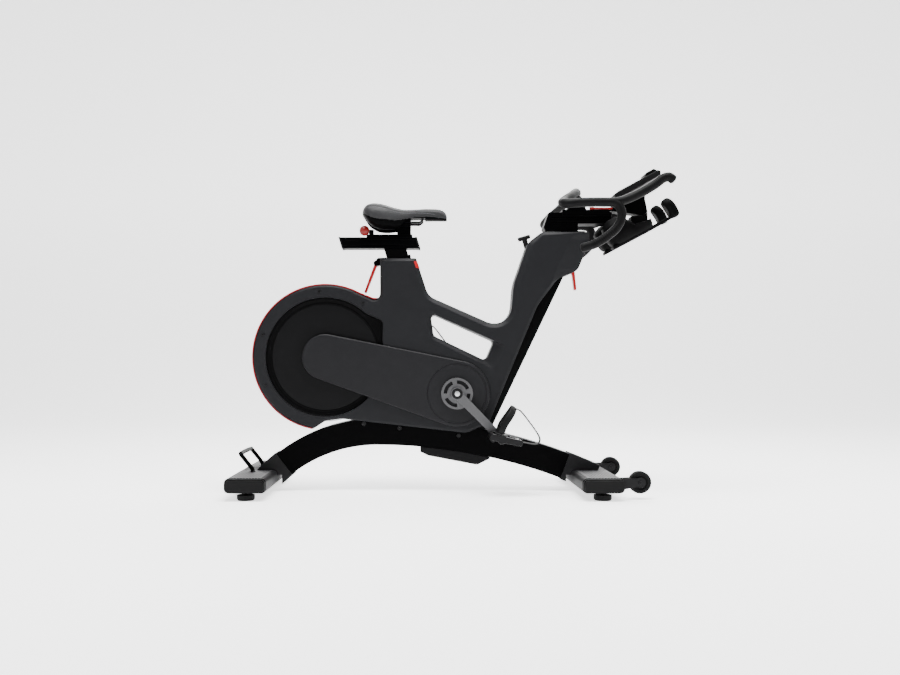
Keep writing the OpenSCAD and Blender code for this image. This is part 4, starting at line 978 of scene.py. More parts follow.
@dataclass
class BodyHalf:
    """One half of the moulded body: a thin shell with formed edges and a window through it."""

    half: float = 45.0
    wall: float = 3.0
    seam: float = 0.15
    housing: float = 206.0
    left_cover: float = 60.0

    def outer(self) -> Rim:
        """Returns the rim of the body's outline."""
        corners = [(-378.5, 201, 6, 5, 3), (-335, 207, 0, 5, 3), (26, 166, 46, 6, 3),
                   (90, 196, 14, 7, 4), (229, 532, 130, 7, 4), (287, 607, 40, 9, 8),
                   (345, 632, 30, 40, 13), (379, 716, 15, 40, 13), (375, 741, 6, 5, 5),
                   (241, 741, 26, 10, 7), (202, 711, 40, 12, 9), (160, 590, 130, 13, 10),
                   (149, 455, 50, 15, 11), (-84, 558, 44, 13, 10), (-119, 666, 4, 9, 8),
                   (-222, 666, 4, 8, 8), (-222, 541, 16, 10, 9), (-289.5, 569, 0, 7, 7)]
        faces = {5: (266, 592, 40), 6: (282, 634, 40), 7: (322, 716, 30), 8: (331, 736, 4)}
        for angle in range(68, 259, 4):
            a = math.radians(angle)
            corners.append((HUB[0] + self.housing * math.cos(a),
                            HUB[1] + self.housing * math.sin(a), 0, 6, 5))
        a = math.radians(261)
        corners.append((HUB[0] + self.housing * math.cos(a), HUB[1] + self.housing * math.sin(a), 0,
                        5, 3))
        return rim_of(corners, faces)

    def window(self) -> Rim:
        """Returns the rim of the window through the body."""
        corners = [(-69, 444, 14, 8, 8), (81, 372, 14, 14, 12), (104, 427, 10, 10, 14),
                   (-78, 510, 10, 5, 5)]
        faces = {0: (-78, 435, 16), 1: (109, 345, 16), 2: (139, 413, 16), 3: (-84, 518, 12)}
        return rim_of(corners, faces, -1.0)

    def profile(self, width: float, drop: float, level_y: float) -> list[Point]:
        """Returns (share of the width, y) from the seam to the flat face."""
        run = Vector((width, drop))
        ease_by = min(2.6, run.length * 0.3)
        along = run.normalized()
        low, high = Vector((0, level_y - drop)), Vector((width, level_y))
        out = [(0.0, 0.0)]
        for a, b, c in ((low - Vector((0, ease_by)), low, low + along * ease_by),
                        (high - along * ease_by, high, high + Vector((ease_by, 0)))):
            for k in range(4):
                t = k / 3
                p = a * (1 - t) ** 2 + b * (2 * t * (1 - t)) + c * t ** 2
                out.append((p.x / max(width, 0.1), p.y))
        return out

    def rings(self, rim: Rim, inward: float) -> list[Ring]:
        """Returns rings from the seam to the face; inward moves them into the wall."""
        rows = rim.table()
        layers: list[Ring] = []
        count = len(self.profile(8, 6, self.half))
        for k in range(count):
            flat, heights = [], []
            for x, z, fx, fz, drop in rows:
                width = math.dist((x, z), (fx, fz))
                share, y = self.profile(max(width, 1.0), drop, self.half)[k]
                flat.append((x + (fx - x) * share, z + (fz - z) * share))
                heights.append(y)
            if inward:
                flat = inset(flat, inward)
            layers.append([(x, max(0.0, y - abs(inward)) if k else -8.0 if inward else self.seam, z)
                           for (x, z), y in zip(flat, heights)])
        return layers

    def solid(self, inward: float) -> Shape:
        """Returns the half as a closed block; inward above zero gives its hollow."""
        shape = Shape()
        starts, ends = [], []
        for rim, sign in ((self.outer(), 1.0), (self.window(), -1.0)):
            made = [shape.ring(r) for r in self.rings(rim, sign * inward)]
            for a, b in zip(made, made[1:]):
                shape.bridge(a, b)
            starts.append(made[0])
            ends.append(made[-1])
        shape.fill(starts)
        shape.fill(ends)
        return shape

    def openings(self, right: bool) -> list[bpy.types.Object]:
        """Returns the shapes that make way for the frame and what passes through the body."""
        arch = [(-600, 60), (300, 60)] + [(x, arch_level(x, ARCH_GAP))
                                          for x in range(300, -601, -12)]
        tools = [prism(arch, -1, ARCH_HALF).piece("cut_arch"),
                 block((-600, -1, 40), (300, ARCH_HALF, 176)).piece("cut_under")]
        lean, tilt = math.radians(25.5), math.radians(-17)
        for name, at, angle, low, high in (
                ("cut_tube", (330, 741), lean, (-31.6, -1, -640), (31.6, 30.8, 40)),
                ("cut_seat", (-170, 665), tilt, (-38.2, -1, -30), (38.2, 24.2, 40)),
                ("cut_knob", (199.6, 708), math.radians(-16.5), (-11, -1, -30), (11, 11, 60))):
            moved = Shape()
            moved.add(block(low, high), lambda p, at=at, angle=angle: (
                at[0] + p[0] * math.cos(angle) + p[2] * math.sin(angle), p[1],
                at[1] + p[2] * math.cos(angle) - p[0] * math.sin(angle)))
            tools.append(moved.piece(name))
        for name, low, high in (("cut_top", (240, -1, 736), (372, 30.8, 760)),
                                ("cut_lever", (334, -1, 580), (390, 16, 652)),
                                ("cut_slot", (-260, -1, 637), (-206, 18, 700))):
            tools.append(block(low, high).piece(name))
        tools.append(prism(dish_outline(0), 30, 60).piece("cut_dish"))
        if right:
            tools.append(guard_tool())
        else:
            ring = arc(*CRANK, self.left_cover + GUARD_GAP, 0, 360, 72)[:-1]
            tools.append(prism(ring, 20, 60).piece("cut_cover"))
        return tools

    def build(self, right: bool) -> bpy.types.Object:
        """Makes the half on the right or left side and returns it."""
        name = "right_body" if right else "left_body"
        obj = self.solid(0.0).piece(name)
        hollow = self.solid(self.wall).piece("hollow")
        cut(obj, hollow, *self.openings(right))
        if right:
            to_right(obj)
        evened(shade(obj, 24))
        side = "right" if right else "left"
        return finished(obj, SHELL, "frame", "moulded body",
                        (side + "_shell", side + "_front_shell"))


def guard_tool() -> bpy.types.Object:
    """Returns the cutting shape that makes way for the belt guard."""
    ends = [r + GUARD_GAP for r in GUARD_ENDS]
    return prism(belt_outline(HUB, ends[0], CRANK, ends[1]), 20, 60).piece("cut_guard")


def arch_level(x: float, lift: float = 0.0) -> float:
    """Returns the height of the arched beam's top at x."""
    apex, top = -230.0, 206.0
    rear, front = 341.0, 609.0
    drops = (top - 59.5, top - 59.5 - 23)
    span, drop = (rear, drops[0]) if x < apex else (front, drops[1])
    radius = (span * span + drop * drop) / (2 * drop) + lift
    d = min(abs(x - apex), radius - 1)
    return top + lift - radius + math.sqrt(radius * radius - d * d)


DISH_CORNERS = ((-378.5, 217, 0), (-318, 228, 40), (-218, 330, 40), (-213, 486, 14),
                (-338, 541, 20), (-378.5, 483, 0))
DISC_CORNERS = ((-378.5, 232, 0), (-348, 250, 20), (-300, 330, 60), (-260, 487, 10),
                (-323, 525, 20), (-378.5, 483, 0))


def ray_outline(radius: float, corners: Sequence[tuple], depth: float,
                steps: int = 180) -> list[Point]:
    """Outline of a circle about the flywheel axle joined with a cornered area.

    Args:
        radius: the circle's radius.
        corners: the area's corners, as (x, z, radius).
        depth: how far the outline is moved inwards.
        steps: points round the outline.

    Returns:
        The outline, anticlockwise from +X.
    """
    area = rounded(corners, 6)
    out = []
    for k in range(steps):
        a = 2 * math.pi * k / steps
        d = Vector((math.cos(a), math.sin(a)))
        reach = radius
        for p, q in zip(area, area[1:] + area[:1]):
            p0, e = Vector(p) - Vector(HUB), Vector(q) - Vector(p)
            det = d.x * -e.y + d.y * e.x
            if abs(det) < NIL:
                continue
            t = (p0.x * -e.y + p0.y * e.x) / det
            u = (d.x * p0.y - d.y * p0.x) / det
            if 0 <= u <= 1 and t > reach:
                reach = t
        out.append((HUB[0] + d.x * reach, HUB[1] + d.y * reach))
    return inset(out, depth) if depth else out


def dish_outline(depth: float) -> list[Point]:
    """Outline of the inset side panel."""
    return ray_outline(170.0, DISH_CORNERS, depth)


def disc_outline(depth: float) -> list[Point]:
    """Outline of the deeper disc in the side panel."""
    return ray_outline(155.0, DISC_CORNERS, depth)


@dataclass
class SideDishes:
    """The inset panels over the flywheel: a stepped rim, a black groove and a shallow disc."""

    face: float = 45.0
    lip: float = 3.0
    step: float = 5.0
    floor: float = 36.0
    back: float = 33.0

    def layers(self) -> list[tuple[list[Point], float]]:
        """Returns outlines and their distance from the middle, from the back round to the disc."""
        return [(dish_outline(0.4), self.back), (dish_outline(0.4), self.face - 2.2),
                (dish_outline(0.7), self.face - 1.6), (dish_outline(1.6), self.face - 1.4),
                (dish_outline(self.lip), self.face - 2.4),
                (dish_outline(self.lip + 0.8), self.face - 3.6),
                (dish_outline(self.lip + 1.4), self.face - 5.4),
                (dish_outline(self.lip + 2.6), self.face - 5.7),
                (disc_outline(-4.2), self.face - 7.6), (disc_outline(-2.0), self.face - 8.2),
                (disc_outline(-0.8), self.face - 8.0), (disc_outline(0.2), self.face - 8.0),
                (disc_outline(1.4), self.floor + 1.2), (disc_outline(3.2), self.floor + 0.2)]

    def half(self, right: bool) -> bpy.types.Object:
        """Makes one panel and returns its object."""
        shape = Shape()
        made = [shape.ring([(x, y, z) for x, z in pts]) for pts, y in self.layers()]
        for a, b in zip(made, made[1:]):
            shape.bridge(a, b)
        edge, previous = disc_outline(3.2), made[-1]
        for share, lift in ((0.8, 0.5), (0.6, 1.0), (0.4, 1.4), (0.2, 1.7)):
            ring = shape.ring([(HUB[0] + (x - HUB[0]) * share, self.floor + lift,
                                HUB[1] + (z - HUB[1]) * share)
                               for x, z in edge])
            shape.bridge(previous, ring)
            previous = ring
        shape.fill([previous])
        shape.fill([made[0]])
        return self.placed(shape.piece("dish"), right)

    def placed(self, obj: bpy.types.Object, right: bool) -> bpy.types.Object:
        """Leaves a piece on the left, or mirrors it and makes way for the belt guard."""
        if right:
            cut(obj, guard_tool())
            to_right(obj)
        return obj

    def plate(self, right: bool) -> bpy.types.Object:
        """Makes the greyer plate that covers one panel's disc and returns its object."""
        edge = disc_outline(4.2)
        shape = Shape()
        rows = ((1.0, -1.0), (1.0, 0.4), (0.99, 0.9), (0.8, 1.2), (0.6, 1.7), (0.4, 2.1),
                (0.2, 2.4))
        made = [shape.ring([(HUB[0] + (x - HUB[0]) * share, self.floor + lift,
                             HUB[1] + (z - HUB[1]) * share)
                            for x, z in edge]) for share, lift in rows]
        for a, b in zip(made, made[1:]):
            shape.bridge(a, b)
        shape.fill([made[-1]])
        shape.fill([made[0]])
        return self.placed(shape.piece("plate"), right)

    def build(self) -> None:
        """Makes both panels as one piece, and their plates as another."""
        panels = ("housing_dishes", self.half, INNER, "dark cover", ("side_dishes",))
        plates = ("housing_plates", self.plate, COVER, "", ())
        for name, make, finish, slot, nodes in (panels, plates):
            obj = make(True)
            cut(obj, make(False), operation="UNION")
            obj.name = name
            finished(evened(shade(obj, 30)), finish, "frame", slot, nodes)


@dataclass
class BeltGuard:
    """The long cover over the belt, with a chamfered rim and a round groove about the crank."""

    out: float = 54.0
    inner: float = 36.3
    wall: float = 3.0
    groove: float = 85.0
    bore: float = 13.8

    def build(self) -> bpy.types.Object:
        """Makes the guard and returns it."""
        shape = Shape()
        outline = belt_outline(HUB, GUARD_ENDS[0], CRANK, GUARD_ENDS[1], 56)
        layers = [(3.0, self.inner), (0.0, self.inner), (0.0, self.out - 3.4),
                  (0.25, self.out - 2.6), (2.2, self.out - 0.7), (3.0, self.out - 0.25),
                  (4.0, self.out)]
        made = [shape.ring([(x, y, z) for x, z in inset(outline, d)]) for d, y in layers]
        under = shape.ring([(x, self.out - self.wall, z) for x, z in inset(outline, 3.4)])
        for a, b in zip([under] + made, made):
            shape.bridge(a, b)
        rings = []
        for r, y in ((self.groove, self.out), (self.groove - 0.5, self.out - 1.3),
                     (self.groove - 1.7, self.out - 1.3), (self.groove - 2.2, self.out),
                     (24, self.out + 0.4), (22, self.out), (21, self.out - 2),
                     (self.bore, self.out - 2), (self.bore, self.out - self.wall - 2)):
            rings.append(shape.ring([(x, y, z) for x, z in arc(*CRANK, r, 0, 360, 96)[:-1]]))
        for a, b in zip(rings, rings[1:]):
            shape.bridge(a, b)
        shape.fill([made[-1], rings[0]])
        shape.fill([under, rings[-1]])
        obj = shape.piece("belt_cover")
        low = [(-200, 100), (120, 100)] + [(x, arch_level(x, ARCH_GAP))
                                           for x in range(120, -201, -8)]
        cut(obj, prism(low, 0, ARCH_HALF).piece("cut_arch"))
        return finished(evened(shade(to_right(obj), 26)), GUARD, "frame", "dark cover",
                        ("belt_guard",))
# ---------- saddle ----------


@dataclass
class Saddle:
    """The padded saddle: a crowned leather cover puffed over its foam, with piping and stitches.

    Tables run from the tail to the nose as shares of the length.
    """

    tail: float = -277.0
    length: float = 251.0
    half: float = 77.5
    low: float = 766.0
    puff: float = 5.0
    start_in: float = 2.6
    groove_start: float = 0.12
    groove_run: float = 0.66
    groove_depth: float = 3.2
    voxel: float = 4.5
    pressure: float = 4.0
    stiffness: float = 25.0
    last_step: int = 20
    cord_reach: float = 0.8
    stitch_reaches: Point = (0.735, 0.86)
    stitch_pitch: float = 4.2
    plan: tuple[Point, ...] = ((0, 0.3), (0.012, 0.6), (0.04, 0.84), (0.1, 0.965), (0.17, 1.0),
                               (0.24, 0.985), (0.32, 0.88), (0.4, 0.7), (0.5, 0.49), (0.6, 0.385),
                               (0.72, 0.33), (0.86, 0.285), (0.95, 0.24), (0.985, 0.175),
                               (1.0, 0.07))
    crown: tuple[Point, ...] = ((0, 34), (0.012, 43), (0.04, 54), (0.09, 61.5), (0.15, 63.5),
                                (0.22, 61.5), (0.3, 56.5), (0.4, 50), (0.5, 46.5), (0.62, 47.5),
                                (0.75, 49), (0.86, 48.5), (0.93, 45.5), (0.97, 40), (1.0, 26))
    edge: tuple[Point, ...] = ((0, 28), (0.05, 18), (0.12, 9), (0.2, 3.5), (0.35, 1), (0.43, 4),
                               (0.5, 9), (0.58, 14), (0.64, 16.5), (0.8, 17), (0.93, 14.5),
                               (1.0, 14))

    def station(self, share: float) -> tuple[float, float, float]:
        """Returns the half width, crown height and edge height at a share of the length."""
        tables = [smooth_path(t, 6) for t in (self.plan, self.crown, self.edge)]
        width, top, low = (level(t, share) for t in tables)
        return width * self.half, self.low + top, self.low + low

    def ring(self, share: float, shrink: float) -> Ring:
        """Returns one closed cross-section of the cover, made smaller by shrink."""
        width, top, low = self.station(share)
        width, top, low = max(2.0, width - shrink), top - shrink, low + shrink * 0.4
        x = self.tail + shrink + share * (self.length - 2 * shrink)
        along = min(1.0, max(0.0, (share - self.groove_start) / self.groove_run))
        groove = self.groove_depth * max(0.0, math.sin(math.pi * along)) ** 1.5
        out: Ring = []
        for k in range(25):
            t = math.pi * k / 24
            y = -width * math.copysign(abs(math.cos(t)) ** 0.8, math.cos(t))
            z = low + (top - low) * math.sin(t) ** 0.62 - groove * math.exp(-(y / 9.0) ** 2)
            out.append((x, y, z))
        roof = min(top - 14, 789.0)
        for k in range(1, 12):
            y = width * (1 - 2 * k / 12)
            rise = min(1.0, max(0.0, (width * 0.9 - abs(y)) / 14)) if width > 20 else 0.0
            out.append((x, y, low + (max(low, roof) - low) * rise))
        return out

    def shares(self) -> list[float]:
        """Returns the stations, closer together at both ends."""
        return [0.5 - 0.5 * math.cos(math.pi * k / 44) for k in range(45)]

    def blank(self, shrink: float) -> bpy.types.Object:
        """Makes the unpuffed cover and returns it."""
        shape = Shape()
        shape.tube([self.ring(s, shrink) for s in self.shares()])
        return shape.piece("saddle_leather")

    def cover(self) -> bpy.types.Object:
        """Makes the cover, puffed by a short cloth simulation, and returns it."""
        obj = self.blank(self.start_in)
        remesh = obj.modifiers.new("even", "REMESH")
        remesh.mode, remesh.voxel_size = "VOXEL", self.voxel * MM
        settle(obj)
        self.inflate(obj)
        soft = obj.modifiers.new("soft", "SUBSURF")
        soft.levels = soft.render_levels = 1
        settle(obj)
        obj.data.shade_smooth()
        return obj

    def inflate(self, obj: bpy.types.Object) -> None:
        """Puffs a cover, its underside held, and keeps every point within reach."""
        mesh = obj.data
        rest = [v.co.copy() for v in mesh.vertices]
        held = obj.vertex_groups.new(name="held")
        for v in mesh.vertices:
            share = (v.co.x / MM - self.tail) / self.length
            low = self.station(min(1.0, max(0.0, share)))[2]
            if v.normal.z < -0.25 or v.co.z / MM < low + 3:
                held.add([v.index], 1.0, "REPLACE")
        cloth = obj.modifiers.new("pad", "CLOTH")
        cloth.settings.use_pressure = True
        cloth.settings.uniform_pressure_force = self.pressure
        cloth.settings.effector_weights.gravity = 0.0
        cloth.settings.vertex_group_mass = "held"
        cloth.settings.tension_stiffness = self.stiffness
        scene = bpy.context.scene
        for step in range(1, self.last_step + 1):
            scene.frame_set(step)
        graph = bpy.context.evaluated_depsgraph_get()
        moved = [v.co.copy() for v in obj.evaluated_get(graph).data.vertices]
        obj.modifiers.clear()
        obj.vertex_groups.clear()
        scene.frame_set(1)
        limit = self.puff * MM
        for v, a, b in zip(mesh.vertices, rest, moved):
            go = b - a
            if go.length > limit:
                go *= limit / go.length
            v.co = a + go
        mesh.update()

    def trace(self, obj: bpy.types.Object, side: float,
              reach: float) -> list[tuple[Vector, Vector]]:
        """Follows the cover's top along one side.

        Args:
            obj: the cover.
            side: -1 for the right, 1 for the left.
            reach: how far out the line runs, as a share of the half width.

        Returns:
            Points on the surface in millimetres, with the outward direction at each.
        """
        out = []
        for k in range(90):
            share = 0.045 + 0.915 * k / 89
            width = self.station(share)[0] * reach
            x = self.tail + share * self.length
            hit, spot, normal, _ = obj.ray_cast(Vector((x, side * width, 900)) * MM,
                                                Vector((0, 0, -1)))
            if hit:
                out.append((spot / MM, normal))
        return out

    def seams(self, obj: bpy.types.Object) -> None:
        """Lays piping and two rows of stitches along both sides of the top."""
        cord, stitch = Shape(), Repeater("saddle_stitches", capsule(2.6, 0.55), THREAD)
        for side in (-1.0, 1.0):
            loop = self.trace(obj, side, self.cord_reach)
            path = smooth_path([tuple(p - n * 0.35) for p, n in loop[::3]], 3)
            cord.add(sweep(path, lambda share: round_section(1.15, 10), dome=1.0))
        for side in (-1.0, 1.0):
            for reach in self.stitch_reaches:
                line = self.trace(obj, side, reach)
                flat = spaced([tuple(p) for p, _ in line], 1.0, closed=False)
                far = 0.0
                for a, b in zip(flat, flat[1:]):
                    far += math.dist(a, b)
                    if far < self.stitch_pitch:
                        continue
                    far = 0.0
                    near = min(line, key=lambda row, a=a: (row[0] - Vector(a)).length)
                    stitch.put(tuple(Vector(a) + near[1] * 0.1), tuple(near[1]),
                               tuple(Vector(b) - Vector(a)))
        piping = cord.piece("saddle_piping")
        finished(shade(piping, 60), HIDE, "saddle")
        finished(stitch.build(), THREAD, "saddle")

    def build(self) -> None:
        """Makes the cover and its seams."""
        obj = self.cover()
        self.seams(obj)
        finished(obj, HIDE, "saddle", "saddle leather", ("saddle_cover",))


@dataclass
class SaddleHull:
    """The black hull under the saddle's cover, with the channel for its rails."""

    inward: float = 3.5
    channel: tuple[Spot, Spot] = ((-300.0, -31.0, 700.0), (-93.0, 31.0, 783.0))
    keel: tuple[Point, ...] = ((0.0, 26), (0.03, 16), (0.08, -1), (0.15, -12), (0.22, -18),
                               (0.3, -19.5), (0.4, -18), (0.46, -8), (0.5, 2), (0.56, 8.5),
                               (0.66, 11), (0.86, 11.5), (0.97, 11), (1.0, 12))

    def build(self) -> None:
        """Makes the hull."""
        saddle = Saddle()
        table = smooth_path(self.keel, 5)
        rings = []
        for share in saddle.shares()[1:-1]:
            width, _, low = saddle.station(share)
            half = max(1.5, width - self.inward)
            keel = min(saddle.low + level(table, share), low - 1.0)
            x = saddle.tail + self.inward + share * (saddle.length - 2 * self.inward)
            ring = []
            for k in range(17):
                t = math.pi * k / 16
                side = math.copysign(abs(math.cos(t)) ** 0.55, math.cos(t))
                ring.append((x, -half * side, low + 3.0 - (low + 3.0 - keel) * math.sin(t) ** 0.7))
            rings.append(ring + [(x, half * 0.5, low + 3.4), (x, -half * 0.5, low + 3.4)])
        shape = Shape()
        shape.tube(rings)
        obj = shape.piece("saddle_hull")
        cut(obj, block(*self.channel).piece("channel"))
        finished(shade(obj, 40), HULL, "saddle", "dark cover", ("saddle_base",))


@dataclass
class HeightMark:
    """The small red marker wrapped round the front edge of the seat column."""

    top: Point = (-116.1, 657.0)
    bottom: Point = (-109.6, 637.0)
    section: tuple[Point, ...] = ((0.7, 37.0), (-9.6, 45.6), (-9.6, 43.0), (-1.6, 35.0))

    def build(self) -> None:
        """Makes the marker."""
        half = list(self.section)
        around = half + [(x, -y) for x, y in reversed(half)]
        shape = Shape()
        shape.tube([[(edge + x, y, z) for x, y in around] for edge, z in (self.bottom, self.top)])
        finished(ease(shape.piece("height_mark"), 0.4, 2), RED, "frame")


def capsule(length: float, radius: float) -> Shape:
    """Returns a short thread lying along X, half sunk, with tapered ends."""
    rings = []
    for x, r in ((-0.5, 0.15), (-0.44, 0.7), (-0.25, 1.0), (0.25, 1.0), (0.44, 0.7), (0.5, 0.15)):
        rings.append([(x * length, radius * r * math.cos(2 * math.pi * k / 6),
                       radius * r * math.sin(2 * math.pi * k / 6)) for k in range(6)])
    shape = Shape()
    shape.tube(rings)
    return shape


@dataclass
class SeatRail:
    """The scale along the top edge of the seat rail."""

    start: float = -332.0
    end: float = -128.0
    top: float = 728.0
    pitch: float = 5.0
    row: float = 16.5

    def build(self) -> None:
        """Lays the scale's ticks, a longer one at each second place."""
        long_tick, short_tick = (
            Repeater(name, block((-0.45, -reach, -0.2), (0.45, reach, 0.12)), INK)
            for name, reach in (("rail_ticks_long", 3.6), ("rail_ticks_short", 2.2)))
        count = int((self.end - self.start) / self.pitch)
        for k in range(count + 1):
            x = self.start + k * self.pitch
            for side in (-1, 1):
                tick = short_tick if k % 2 else long_tick
                tick.put((x, side * self.row, self.top), (0, 0, 1))
        for tick in (long_tick, short_tick):
            finished(tick.build(), INK, "seat_stem")


@dataclass
class BallLever:
    """The ball-ended lever that frees the saddle carriage: a black stem and a red ball."""

    pivot: Point = (-248.0, -12.0)
    ball: Point = (-267.0, -30.0)
    base: float = 736.6
    radius: float = 14.5
    lift: float = 9.0

    def stem(self) -> Shape:
        """Returns the hub on its pin and the arm out to the ball."""
        shape = Shape()
        hub = upright([(6.0, 0.2), (7.0, 1.0), (7.0, 12.0), (6.2, 13.4), (3.0, 14.0)], 28)
        shape.add(hub, lambda p: (p[0] + self.pivot[0], p[1] + self.pivot[1], p[2] + self.base))
        path = [(*self.pivot, self.base + 7.5), ((self.pivot[0] + self.ball[0]) / 2,
                (self.pivot[1] + self.ball[1]) / 2, self.base + 8.2),
                (*self.ball, self.base + self.lift)]
        shape.add(sweep(smooth_path(path, 5), lambda share: round_section(4.2 - share, 16, 0.8)))
        return shape

    def build(self) -> None:
        """Makes the lever's stem and ball."""
        obj = self.stem().piece("ball_lever_stem")
        finished(shade(obj, 50), INNER, "seat_slide_lever")
        profile = [(self.radius * math.sin(math.radians(a)),
                    -self.radius * math.cos(math.radians(a)))
                   for a in (4, 20, 36, 52, 68, 84, 100, 116, 132, 148, 164, 176)]
        ball = Shape()
        ball.add(upright(profile, 36), lambda p: (p[0] + self.ball[0], p[1] + self.ball[1],
                                                  p[2] + self.base + self.lift))
        obj = ball.piece("ball_lever")
        finished(shade(obj, 50), RED_DEEP, "seat_slide_lever", "red trim", ("seat_slide_lever",))
# ---------- handlebar ----------


@dataclass
class Handlebar:
    """The bent tube: crossbar, raised horns and the closed drops, in a soft rubber sleeve."""

    reach: float = 218.0
    radius: float = 12.4

    def half_crossbar(self) -> list[Spot]:
        """Returns the crossbar's points on the right, from the middle outwards."""
        y = self.reach
        return [(345, 0, 856), (338, -40, 853), (312, -110, 830), (285, -165, 808),
                (277, -y + 18, 796), (291, -y + 2, 792), (320, -y, 794)]

    def tubes(self) -> list[tuple[list[tuple], float]]:
        """Returns each tube's path and radius."""
        y = self.reach
        half = self.half_crossbar()
        cross = [(x, -s, z) for x, s, z in half[:0:-1]] + half
        top = [(320, -y, 794), (360, -y, 795), (400, -y, 795), (432, -y + 4, 799),
               (483, -y + 12, 821), (524, -y + 13, 845), (547, -y + 13, 862), (562, -y + 13, 864.5),
               (571, -y + 13, 858)]
        drop = [(398, -y, 795), (420, -y, 789), (431, -y - 1, 768), (429, -y - 2, 748),
                (418, -y - 2, 727), (394, -y - 2, 705), (361, -y - 1, 684), (328, -y + 2, 673)]
        out = [(smooth_path(cross, 7), self.radius)]
        for flip in (1, -1):
            out.append((smooth_path([(x, s * flip, z) for x, s, z in top], 7), self.radius))
            out.append((smooth_path([(x, s * flip, z) for x, s, z in drop], 7), self.radius - 0.2))
        return out

    def build(self) -> None:
        """Makes the bar and its ribs."""
        shape = Shape()
        for path, radius in self.tubes():
            shape.add(sweep(path, lambda share, radius=radius: round_section(radius, 24), dome=7.0))
        obj = shape.piece("handlebar_sleeve")
        finished(shade(obj, 50), GRIP, "cockpit", "grip", ("handlebar",))
        self.rings()

    def rings(self) -> None:
        """Sets the thin ribs of the hand rests along the drops and the horns."""
        ribs = Repeater("grip_ribs",
                        lathe([(0.1, -0.9), (12.3, -0.9), (12.75, -0.45), (12.75, 0.45),
                               (12.3, 0.9), (0.1, 0.9)], (0, 0), steps=24), GRIP)
        turned_ring = Shape()
        turned_ring.add(ribs.template, lambda p: (p[0], p[2], p[1]))
        ribs.template = turned_ring
        for path, _ in self.tubes()[1:]:
            part = path[len(path) // 2:-4]
            flat = spaced(part, 1.0, closed=False)
            for k in range(0, len(flat) - 1, 6):
                if 8 < k < len(flat) - 8:
                    ribs.put(flat[k], tuple(Vector(flat[k + 1]) - Vector(flat[k])), (0, 1, 0))
        finished(ribs.build(), GRIP, "cockpit")


def leaning(shape: Shape, foot: Point, tilt: float) -> Shape:
    """Turns a side-view shape up by tilt degrees about the Y axis and sets its origin at foot."""
    t = math.radians(tilt)
    moved = Shape()
    moved.add(shape, lambda p: (foot[0] + p[0] * math.cos(t) - p[2] * math.sin(t), p[1],
                                foot[1] + p[2] * math.cos(t) + p[0] * math.sin(t)))
    return moved


@dataclass
class Console:
    """The slim sloping console between the horns, with a raised block at its upper end."""

    foot: Point = (446.0, 849.0)
    tilt: float = 28.0
    half: float = 40.0

    def build(self) -> None:
        """Makes the console's body, its screen and its raised block."""
        body = prism(rounded([(0, -14, 5), (104, -16, 3), (146, -14, 6), (150, -4, 4), (144, 2, 3),
                              (2, 0, 5)], 5), -self.half, self.half, edge=3.0, steps=4)
        obj = leaning(body, self.foot, self.tilt).piece("console_body")
        finished(shade(obj, 35), COVER, "cockpit", "dark cover", ("console",))
        top = prism(rounded([(104, 1, 1), (144, 1, 2), (138, 11, 5), (112, 11, 8)], 5),
                    -self.half + 6, self.half - 6, edge=2.0, steps=3)
        obj = leaning(top, self.foot, self.tilt).piece("console_block")
        finished(shade(obj, 35), INNER, "cockpit")
        glass = prism(rounded([(16, 0.2, 0.4), (98, 0.8, 0.4), (98, 2.4, 0.6), (16, 1.8, 0.6)], 3),
                      -self.half + 7, self.half - 7, edge=0.6, steps=2)
        obj = leaning(glass, self.foot, self.tilt).piece("console_screen")
        finished(shade(obj, 35), GLOSS, "cockpit")


